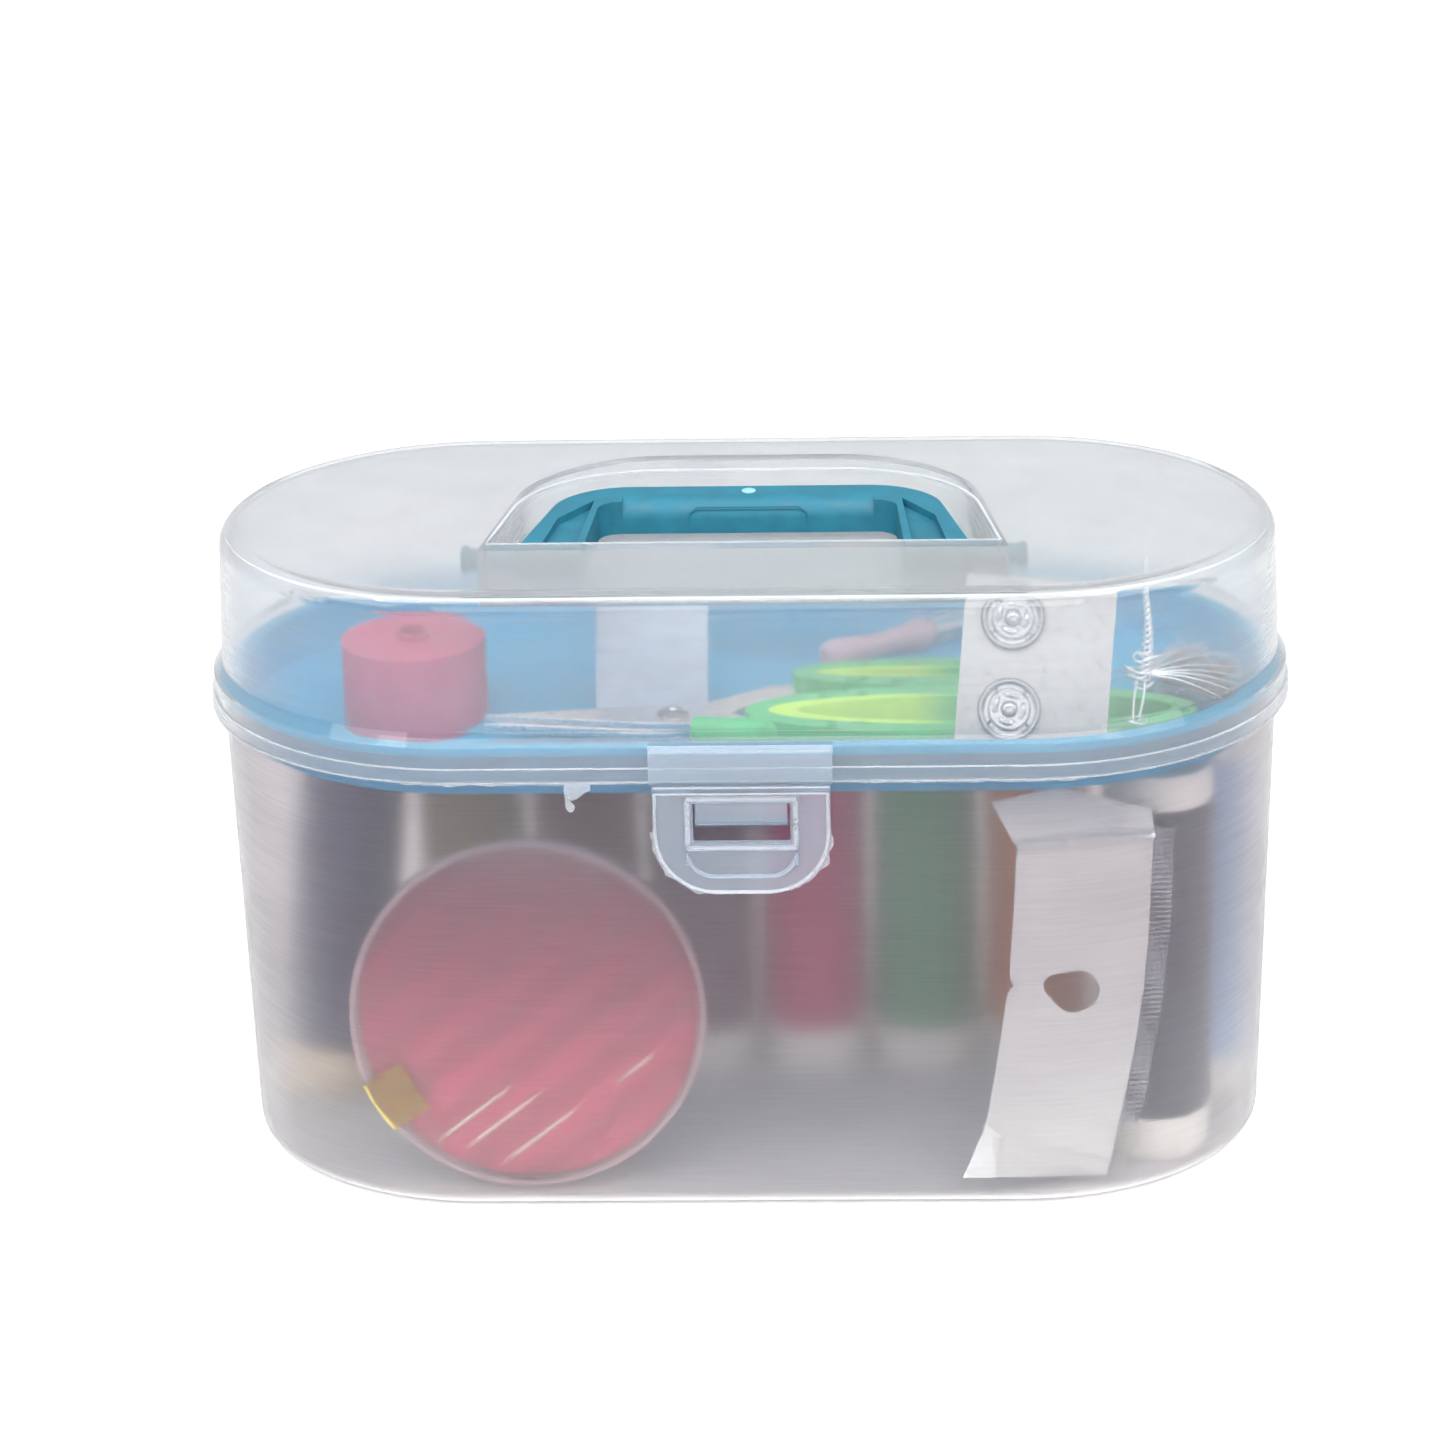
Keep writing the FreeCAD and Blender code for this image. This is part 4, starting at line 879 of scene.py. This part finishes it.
def make_needle_case():
    """Clear dish and cover with rounded rims, printed foil, needles with eyes and a sticker."""
    base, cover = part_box("needle_case_base"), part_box("needle_case_cover")
    middle = (Vector(map(min, base[0], cover[0])) + Vector(map(max, base[1], cover[1]))) / 2
    place = turned_place(middle, ("X", 81.0))
    r = (base[1].x - base[0].x) / 2 / MM
    half = CASE_HALF
    wall = (
        *((0, half), (r - 1.2, half), (r - 0.4, half - 0.25), (r, half - 0.9), (r, 0.03)),
        *((r - 1.0, 0.03), (r - 1.0, half - 1.4), (r - 1.5, half - 1.0), (r - 4.0, half - 1.0)),
        (0, half - 1.0),
    )
    for name, node, side in (("dish", "base", -1), ("cover", "cover", 1)):
        outer = [(x, side * z) for x, z in wall]
        shell = lathe("case_" + name, outer, place, 128)
        finish(shell, CASE, RIM_PLASTIC, "needle_case_" + node)
    top = FOIL_LOW + 0.3
    sheet = (
        *((0, FOIL_LOW), (r - 1.6, FOIL_LOW), (r - 1.35, FOIL_LOW + 0.15), (r - 1.6, top)),
        *((r - 5.0, top), (r - 5.4, top + 0.12), (r - 5.8, top), (0, top)),
    )
    foil = lathe("case_foil", sheet, place, 128)
    finish(foil, ("tub_body", "foil_red"), foil_material(), "needle_foil")
    slant = polar(MM, radians(NEEDLE_SLANT))
    across = Vector((-slant.y, slant.x, 0))
    shares = 0.0, 0.06, 0.3, 0.7, 0.9, 1.0
    radii = 0.34, 0.40, 0.40, 0.36, 0.20, 0.02
    parts = []
    for i, (x, y, length) in enumerate(NEEDLES):
        eye_end = mm(x, y, FOIL_LOW + 0.75)
        shank = [place @ (eye_end + slant * (2.2 + (length - 2.2) * t)) for t in shares]
        parts.append(tube(f"needle_shank_{i}", shank, radii))
        eye = closed_path(eye_end + slant * 1.15, slant * 1.15, across * 0.34, 24)
        parts.append(tube(f"needle_eye_{i}", [place @ point for point in eye], 0.12, 8))
    needles = join(parts, "case_needles")
    finish(needles, ("tub_body", "needle_steel"), NEEDLE_STEEL, "needles")
    # Painted highlight: a pale milky ring round the cover's face stands for its rim catching the
    # light
    circle = closed_path(mm(0, 0, CASE_HALF - 0.62), mm(r - 0.62, 0, 0), mm(0, r - 0.62, 0), 96)
    bead("case_ring_highlight", [place @ point for point in circle], 0.6, CASE, RING_HIGHLIGHT_PLASTIC, 12)
    make_case_seal(place, r)


def make_case_seal(place, radius):
    """Sticker folded over the rim at the case's lower left, its corner a little lifted."""
    place = place @ Matrix.Rotation(radians(212.0), 4, "Z")
    lap = 8.0
    gap = 0.12
    wrap = CASE_HALF + gap

    def rim(across):
        return sqrt(radius**2 - across**2) + 0.1

    def seal_point(u, v):
        along = 2 * (lap + wrap) * v
        across = (u - 0.5) * 10.0
        ripple = 0.10 * sin(5 * u + 3) * sin(9 * v + 1)
        edge = rim(across) + gap
        if along < lap:
            lifted = 0.25 * (1 - along / lap) ** 2
            return place @ mm(edge - lap + along, across, wrap + ripple + lifted)
        if along < lap + 2 * wrap:
            share = (along - lap) / (2 * wrap)
            return place @ mm(edge + 0.12 * sin(pi * share), across, wrap * (1 - 2 * share))
        return place @ mm(edge - (along - lap - 2 * wrap), across, -wrap - abs(ripple))

    seal = thin_sheet("case_sticker", 20, 60, seal_point, 0.12)
    finish(seal, SEAL, gold_material(), "case_seal")
    # Painted highlight: a brighter, less metallic gold bead along the fold over the rim
    steps = [0.48 * step for step in range(-10, 11)]
    path = [place @ mm(rim(across), across, CASE_HALF - 0.1) for across in steps]
    fold_highlight_gold = plastic("gold fold painted highlight", (0.98, 0.80, 0.16), 0.25, Metallic=0.3)
    relief(pattern(fold_highlight_gold.node_tree, 1.5, detail=2.0), 0.03)
    bead("case_sticker_fold_highlight", path, 0.42, SEAL, fold_highlight_gold, 10)


# Cards and packets

HEADER_CENTRE = mm(56.0, -40.0, 36.7)
HEADER_TURNS = (("Z", 12.0), ("Y", 6.6), ("X", 1.5))
HEADER_HALF = 12.3
HEADER_TALL = 33.0
HEADER_LENGTH = 75.0
HOLE_X, HOLE_Z, HOLE_RADIUS = 0.2, 3.4, 4.2
HOLE_TEAR_ANGLE = radians(163.0)
FILM_RIBS = 62


def header_bow(z):
    """How far the card's edges curve to the right at a height."""
    return 2.0 * cos(pi * clamp(z / HEADER_TALL) / 2)


def header_across(u, z):
    """Sideways place at a height: bowed edges, a flared foot and a flared top left corner."""
    flare = 2.4 * max(0.0, (-z / HEADER_TALL - 0.62) / 0.38) ** 1.3
    flare += 2.6 * max(0.0, (z / HEADER_TALL - 0.93) / 0.22)
    notch = 0.9 * peak(z - HOLE_Z - 1.2, 1.1)
    bow = header_bow(z) * (0.9 if u < 0.5 else 1.0)
    return (u - 0.5) * 2 * HEADER_HALF + bow + (1 - u) ** 3 * (notch - flare)


def from_hole(u, z):
    """A point's offset from the centre of the hang hole, and the torn hole's radius that way."""
    x = header_across(u, z) - HOLE_X - header_bow(z)
    z -= HOLE_Z
    tear = max(0.0, cos(atan2(z, x) - HOLE_TEAR_ANGLE)) ** 9
    return x, z, HOLE_RADIUS * (1 + 0.55 * tear)


def make_header_card():
    """Folded coated card and film: bright top fold, creased torn hang hole, soft lower fold."""
    place = turned_place(HEADER_CENTRE, *HEADER_TURNS)

    def card_point(u, v):
        z = HEADER_LENGTH * v - HEADER_TALL
        off_x, off_z, rim = from_hole(u, z)
        away = hypot(off_x, off_z)
        if away > 0.001 and abs(away - rim) < 0.24:
            off_x, off_z = off_x * rim / away, off_z * rim / away
        x = HOLE_X + header_bow(z) + off_x
        z = HOLE_Z + off_z
        crease = peak(z - HOLE_Z - 1.4 + 1.5 * u / 0.4, 2.0) * max(0.0, 1 - u / 0.42)
        beyond = 0.8 * hump(z - HOLE_Z - 0.12 * x, 2.6) * max(0.0, u - 0.6)
        lower_at = 9.0 - 5.0 * u - HEADER_TALL
        lower = 0.8 * peak(z - lower_at, 1.3) + 0.5 * peak(z - lower_at + 3.6, 0.9) * u
        fold_at = HEADER_TALL - 1.6 + 3.0 * u
        fold = 1.5 * peak(z - fold_at, 1.1)
        twist = 1.6 * (1 - u) * max(0.0, -z / HEADER_TALL) ** 1.5
        y = 0.45 * drift(x / 8, 0, z / 12) - crease - beyond - lower - fold - twist
        if z <= fold_at:
            return place @ mm(x, y, z)
        shorter = 0.30 * (0.38 - u) / 0.38 if u < 0.38 else 0.42 * (u - 0.38) / 0.62
        past = (z - fold_at) * (1.0 - shorter)
        lean = radians(27.0 + 12 * u)
        return place @ mm(x - 0.06 * past, y + past * sin(lean), fold_at + past * cos(lean))

    def solid_cell(u, v):
        off_x, off_z, rim = from_hole(u, HEADER_LENGTH * v - HEADER_TALL)
        return hypot(off_x, off_z) > rim

    card = thin_sheet("header_card_paper", 80, 242, card_point, 0.35, solid_cell)
    finish(card, ("tub_body", "card_white"), HEADER_PAPER, "header_card")

    def film_point(u, v):
        z = 10.0 + 58.0 * v - HEADER_TALL
        tooth = abs((v * FILM_RIBS) % 1 - 0.5) * 2
        reach = 4.0 * u * (1 - 0.10 * (1 - tooth) * (u > 0.9))
        y = 1.1 + 0.26 * sin(TURN * v * FILM_RIBS) + 0.3 * drift(u * 2, v * 9, 1)
        return place @ mm(HEADER_HALF + header_bow(z) + 0.3 + reach, y, z)

    film = thin_sheet("crimped_film", 8, 6 * FILM_RIBS, film_point, 0.12)
    finish(film, ("tub_body", "film_clear"), FILM, "film_strip")


def make_snap_card():
    """Card of press studs, a little bowed, with sewn-on bright studs."""
    place = turned_place(middle_of("snap_card"), ("X", -27.0), ("Y", 5.0))

    def card_point(u, v):
        bow = 0.14 * cos(pi * (u - 0.5)) - 0.08
        curl = 1.5 * max(0.0, v - 0.8) * max(0.0, u - 0.6)
        return place @ mm((u - 0.5) * 26.4, bow + curl, (v - 0.5) * 32.8)

    card = thin_sheet("snap_card_paper", 24, 30, card_point, 0.45)
    finish(card, ("tray_body", "card_white"), PAPER, "snap_card")
    studs = []
    for name, x, z in (("stud_lower", -4.0, -6.3), ("stud_upper", -4.6, 9.7)):
        studs.append(press_stud(name, place @ turned_place(mm(x, -0.32, z), ("X", 90))))
    pair = join(studs, "press_stud_pair")
    finish(pair, ("tray_body", "stud_metal"), BRIGHT_METAL, "press_studs")


def press_stud(name, place):
    """Sew-on press stud: beaded rim, four sewing holes and a domed centre with a folded spring."""
    rings = 40
    segments = 96
    radius = 5.6

    def height(share, angle):
        """Height in millimetres at a share of the radius."""
        rim = 0.55 * hump(share - 0.90, 0.08) - 0.25 * max(0.0, share - 0.96) / 0.04
        step = 0.35 * max(0.0, min(1.0, 1 - (share - 0.62) / 0.06))
        dome = 0.75 * sqrt(max(0.0, 1 - (share / 0.26) ** 2))
        spring = 0.3 * hump(share - 0.44, 0.06) * (0.5 + 0.5 * cos(4 * angle + 0.6))
        holes = 0.0
        for k in range(4):
            gap = (polar(share, angle) - polar(0.74, TURN * (k + 0.5) / 4)).length
            holes += 0.5 * exp(-((gap / 0.10) ** 4))
        return 0.45 + rim + step + dome + spring - min(holes, 0.42)

    vertices = []
    for r in [*range(1, rings + 1), 0]:
        share = r / rings or 1.0
        for s in range(segments):
            angle = TURN * s / segments
            z = height(share, angle) if r else 0
            vertices.append(place @ (polar(radius * share, angle, z) * MM))
    top = len(vertices)
    vertices.append(place @ mm(0, 0, height(0, 0)))
    faces = bands(rings, segments)
    faces += [(top, (s + 1) % segments, s) for s in range(segments)]
    faces.append(tuple(reversed(range(rings * segments, top))))
    return from_faces(name, vertices, faces)


def make_needle_card():
    """Plain folded packet that leans at the back of the tray."""
    place = turned_place(middle_of("needle_card"), ("X", -30.0))

    def packet_point(u, v):
        y = 0.15 * peak(v - 0.78, 0.03) - 0.2 * sin(pi * u) * sin(pi * v)
        return place @ mm((u - 0.5) * 20.3, y, (v - 0.5) * 19.8)

    packet = thin_sheet("needle_packet", 24, 24, packet_point, 0.5)
    finish(packet, ("tray_body", "card_grey"), PACKET_PAPER, "needle_card")


# Tape, seam ripper, scissors and bag


def make_tape():
    """Tape rolled in close turns, its inner end standing a little proud."""
    low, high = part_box("tape_measure")
    radius = (high.y - low.y) / 2
    centre = Vector((low.x + radius, (low.y + high.y) / 2, low.z))
    inner = 2.3 * MM
    turns = 19
    steps = turns * 40
    proud_turn = TURN * 1.3
    spacing = (radius - 0.35 * MM - inner) / turns
    thick = spacing * 0.46
    vertices = []
    for i in range(steps + 1):
        angle = TURN * turns * i / steps
        r = inner + spacing * angle / TURN
        wander = 0.12 * MM * drift(angle * 0.7, 2, 0)
        proud = 1.9 * MM * (1 - angle / proud_turn) ** 0.6 if angle < proud_turn else wander
        foot = 0.06 * MM + abs(wander)
        top = high.z - low.z + proud - 0.15 * MM
        for side, z in ((-thick, foot), (thick, foot), (thick, top), (-thick, top)):
            vertices.append(centre + polar(r + side, angle + 0.4, z))
    roll = from_faces("tape_roll", vertices, rod_faces(steps, 4))
    finish(roll, ("tray_body", "tape_pink"), TAPE_PINK, "tape_measure")


def make_seam_ripper():
    """Seam ripper: waisted pink handle with a collar, and a clear cap over its fork."""
    axis = polar(1, radians(36.0))
    along = axis.to_track_quat("Z", "Y").to_matrix().to_4x4()
    grip = (0.0, 0.0), (0.55, 0.0), (0.92, 0.04), (1.0, 0.10), (0.96, 0.2), (0.74, 0.45)
    grip += (0.72, 0.6), (0.86, 0.8), (0.98, 0.86), (1.0, 0.9), (0.98, 0.94), (0.80, 0.955)
    grip += (0.80, 1.0), (0.0, 1.0)
    cap = (0.74, 0.0), (1.0, 0.0), (1.0, 0.3), (0.93, 0.8), (0.80, 0.96), (0.4, 1.0), (0.0, 1.0)
    cap += (0.0, 0.96), (0.36, 0.955), (0.68, 0.9), (0.76, 0.7)
    for node, name, slot, material, span, shape in (
        ("ripper_handle", "ripper_grip", "ripper_pink", RIPPER_PINK, 24.0, grip),
        ("ripper_cap", "ripper_clear_cap", "cap_clear", CAP_PLASTIC, 22.0, cap),
    ):
        low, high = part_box(node)
        radius = (high.z - low.z) / 2 / MM
        place = Matrix.Translation(middle_of(node) - axis * span / 2 * MM) @ along
        profile = [(r * radius, t * span) for r, t in shape]
        finish(lathe(name, profile, place, 48), ("tray_body", slot), material, node)
    parts = []
    for name, points, radii in (
        ("ripper_stem", ((0, 0), (0, 9.9), (0, 13.2)), (0.7, 0.6, 0.5)),
        ("ripper_prong", ((0, 11.0), (0.8, 12.76), (1.0, 15.84)), (0.45, 0.4, 0.35)),
        ("ripper_point", ((0, 11.0), (-0.5, 15.4), (-0.3, 19.8)), (0.45, 0.3, 0.06)),
    ):
        parts.append(tube(name, [place @ mm(x, 0, z) for x, z in points], radii))
    finish(join(parts, "ripper_fork"), ("tray_body", "blade_steel"), BLADE_STEEL)


def make_scissors():
    """Scissors with softly rounded loops, ground blades and a rivet-like screw."""
    for side, body in (("front", "tray_body"), ("rear", "scissor_body")):
        for part, name, slot, material, width, segments, crease in (
            ("handle", "loop", "bow_green", BOW_GREEN, 1.1, 4, 40.0),
            ("grip", "liner", "grip_lime", LIME, 0.25, 2, 40.0),
            ("blade", "steel", "blade_steel", BLADE_STEEL, 0.2, 2, 30.0),
        ):
            node = f"scissor_{side}_{part}"
            rounding = width, segments, crease, crease + 10.0
            piece = rounded_copy(node, f"scissor_{side}_{name}", *rounding)
            finish(piece, (body, slot), material, node)
    shank = [mm(x, y, 85.2) for x, y in ((-9, -25.5), (-3, -27.5), (4, -27.0), (10, -25.0))]
    owner = ("tray_body", "bow_green")
    bead("scissor_front_shank", shank, (2.1, 2.5, 2.6, 2.0), owner, BOW_GREEN, 16)
    low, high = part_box("scissor_screw")
    middle = middle_of("scissor_screw")
    top = (high.z - low.z) / MM
    profile = (
        *((0, 0), (2.0, 0), (2.2, 0.2), (2.2, 0.6), (1.3, 0.6), (1.3, top - 0.8)),
        *((2.9, top - 0.8), (2.9, top - 0.45), (2.4, top - 0.08), (1.2, top)),
        *((1.0, top - 0.25), (0, top - 0.3)),
    )
    place = Matrix.Translation((middle.x, middle.y, low.z))
    screw = lathe("scissor_rivet", profile, place, 48)
    finish(screw, ("tray_body", "blade_steel"), BRIGHT_METAL, "scissor_screw")


BAG_X, BAG_Y = 81.0, -2.0
KNOT = mm(70.0, -28.0, 95.2)
KNOT_FOOT = mm(68.9, -31.6, 88.4)
KNOT_TIP = mm(71.6, -20.0, 113.6)
CREASES = (  # angle in degrees, reach and drop in millimetres
    *((12, 15.0, 6.0), (18, 17.5, 5.4), (23, 19.5, 5.0), (28, 21.0, 4.4), (34, 22.0, 3.4)),
    *((42, 22.0, 1.6), (54, 22.0, 0.4), (66, 20.0, 2.0), (158, 8.0, 2.0), (176, 7.0, 3.2)),
)


def make_pouch():
    """Crumpled cellophane pouch whose creases gather towards its neck."""
    centre = mm(BAG_X, BAG_Y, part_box("button_bag")[0].z / MM + 4.4)
    neck = centre + mm(-8.5, -4.0, 1.0)
    rings = 48
    segments = 96
    vertices = []
    for r in range(rings + 1):
        tilt = pi * r / rings
        for s in range(segments):
            way = polar(sin(tilt), TURN * s / segments, cos(tilt))
            point = centre + mm(way.x * 10.2, way.y * 12.6, way.z * 4.2)
            off = point - neck
            fan = atan2(off.y, off.x)
            crumple = 0.45 * sin(fan * 17 + 2.0 * sin(fan * 5)) * exp(-off.length / (14 * MM))
            crumple += 0.35 * noise.noise(point * 220) + 0.15 * noise.noise(point * 600)
            if way.z < -0.6:
                crumple *= 0.1
            vertices.append(point + way * crumple * MM)
    pouch = from_faces("bag_pouch", vertices, bands(rings, segments))
    pouch.modifiers.new("wall", "SOLIDIFY").thickness = 0.10 * MM
    finish(pouch, BAG, CELLOPHANE, "button_bag")


def make_twisted_neck():
    """Three twisted strands over the knot, loops round it and two strands under it."""
    strands = []
    count = 96
    for k in range(3):
        path = []
        for i in range(count):
            share = i / (count - 1)
            spread = (1.15 * (1 - share) ** 2 + 0.34) * MM
            middle = KNOT.lerp(KNOT_TIP, share) + mm(0.6 * sin(5.0 * share), 0, 0)
            path.append(middle + polar(spread, TURN * (6.5 * share + k / 3)))
        radii = [0.24 * (1 - 0.4 * i / count) for i in range(count)]
        strands.append(tube(f"strand_{k}", path, radii, 8))
    for k, (loop, height) in enumerate(((2.1, 0.0), (2.9, 1.6), (1.7, -1.5), (2.3, 3.6))):
        path = []
        for i in range(33):
            angle = TURN * i / 32 + k
            x = loop * cos(angle) + 0.5 * k - 0.6
            path.append(KNOT + mm(x, 0.55 * loop * sin(angle), height + 0.5 * sin(angle * 2 + k)))
        strands.append(tube(f"knot_loop_{k}", path, 0.2, 8))
    for k, offset in enumerate((-0.6, 0.7)):
        side = mm(offset, 0, 0)
        path = [KNOT + side, KNOT.lerp(KNOT_FOOT, 0.5) + side * 1.3, KNOT_FOOT + side * 0.8]
        strands.append(tube(f"strand_foot_{k}", path, 0.22, 8))
    angles = [TURN * i / 24 for i in range(25)]
    path = [KNOT_FOOT + mm(1.9 * cos(a), 1.3 * sin(a), 0.3 * sin(2 * a)) for a in angles]
    strands.append(tube("strand_foot_loop", path, 0.22, 8))
    finish(join(strands, "bag_twisted_neck"), BAG, GLINT_FILM)


def make_creases():
    """A fan of creases from the knot and the film that they lie in."""
    ribs = []
    draw = random.Random(12)
    for k, (angle, reach, drop) in enumerate(CREASES):
        path = []
        for i in range(20):
            share = i / 19
            sag = 1.1 * sin(pi * share) - drop * share + 0.4
            stray = draw.uniform(-0.12, 0.12)
            path.append(KNOT + polar(reach * MM * share, radians(angle)) + mm(0, stray, sag))
        radii = [0.09 + 0.11 * (1 - i / 19) for i in range(20)]
        ribs.append(tube(f"rib_{k}", path, radii, 6))
    finish(join(ribs, "bag_creases"), BAG, GLINT_FILM)

    def drape_point(u, v):
        reach = 2.0 + (15.0 + 6.0 * u) * v
        fall = (6.0 - 5.0 * u - 0.5 * sin(34 * u)) * v
        return KNOT + polar(reach * MM, radians(12 + 58 * u), -fall * MM)

    finish(thin_sheet("bag_drape", 60, 24, drape_point, 0.08), BAG, CELLOPHANE)


def make_buttons():
    """Flat buttons with a raised rim."""
    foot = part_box("buttons")[0].z / MM + 0.02
    rim = (2.9, 0), (3.4, 0.5), (3.4, 1.1), (3.1, 1.55), (2.6, 1.55), (2.3, 1.1)
    profile = (0, 0), *rim, (0, 0.95)
    buttons = []
    for i, (x, y) in enumerate(((2.8, -6.0), (-3.4, 0.2), (4.6, 3.4), (-0.6, 8.2))):
        place = Matrix.Translation(mm(BAG_X + x, BAG_Y + y, foot))
        buttons.append(lathe(f"button_disc_{i}", profile, place, 40))
    group = join(buttons, "bag_buttons")
    finish(group, ("tray_body", "button_dark"), BUTTON_DARK, "buttons")


make_handle()
make_recess_lines()
make_latch()
make_lid_flash()
for reel_colour in THREAD_COLOURS:
    make_reel(reel_colour)
make_needle_case()
make_header_card()
make_snap_card()
make_needle_card()
make_tape()
make_seam_ripper()
make_scissors()
make_pouch()
make_twisted_neck()
make_creases()
make_buttons()


# Floor, light and camera

FLOOR_HALF = 4.0
FLOOR_LEVEL = -0.0002
STUDIO_TARGET = Vector((0.0, 0.0, 0.06))
CAMERA_TARGET = Vector((0, 0, 0.055))
CAMERA_DISTANCE = 0.9
CAMERA_ELEVATION = 22.06
CAMERA_YAW = -2.155
CAMERA_ROLL = -1.226


def area_light(name, place, size, power):
    """A rectangular softbox that faces the object."""
    data = bpy.data.lights.new(name, "AREA")
    data.shape = "RECTANGLE"
    data.size, data.size_y = size
    data.energy = power
    lamp = add_object(name, data)
    lamp.location = place
    lamp.rotation_euler = (STUDIO_TARGET - Vector(place)).to_track_quat("-Z", "Y").to_euler()
    return lamp


def make_studio():
    """Pale floor, a bright even surround, four softboxes and one for reflections only."""
    corners = ((-1, -1), (1, -1), (1, 1), (-1, 1))
    level = [Vector((x * FLOOR_HALF, y * FLOOR_HALF, FLOOR_LEVEL)) for x, y in corners]
    floor = from_faces("floor", level, [(0, 1, 2, 3)])
    white = plastic("floor white", (0.92, 0.92, 0.92), 0.9, Specular_IOR_Level=0.1)
    floor.data.materials.append(white)
    world = bpy.data.worlds.new("studio")
    world.use_nodes = True
    surround = world.node_tree.nodes["Background"]
    surround.inputs["Color"].default_value = (1.0, 1.0, 1.0, 1.0)
    surround.inputs["Strength"].default_value = 0.86
    SCENE.world = world
    area_light("softbox_left", (-0.9, -0.7, 0.9), (0.7, 0.7), 5.0)
    area_light("softbox_right", (0.9, -0.5, 0.9), (0.7, 0.7), 4.0)
    area_light("softbox_top", (0.0, -0.42, 1.0), (1.2, 0.35), 9.0)
    area_light("softbox_front", (0.15, -1.4, 0.75), (1.2, 0.8), 7.0)
    gleam = area_light("softbox_gleam", (0.0, -0.42, 1.0), (1.3, 0.22), 26.0)
    gleam.visible_diffuse = False
    gleam.visible_transmission = False
    SCENE.view_settings.view_transform = "Standard"


def make_camera():
    """Long lens, a little above the lid, turned slightly to the object's left."""
    data = bpy.data.cameras.new("camera")
    data.lens = 121.26
    data.sensor_width = 36.0
    data.shift_x = -0.0208
    data.shift_y = 0.0749
    data.clip_start = 0.01
    camera = add_object("camera", data)
    turns = ("Z", -CAMERA_YAW), ("X", 90 - CAMERA_ELEVATION), ("Z", CAMERA_ROLL)
    back_off = Matrix.Translation((0, 0, CAMERA_DISTANCE))
    camera.matrix_world = turned_place(CAMERA_TARGET, *turns) @ back_off
    SCENE.camera = camera


make_studio()
make_camera()
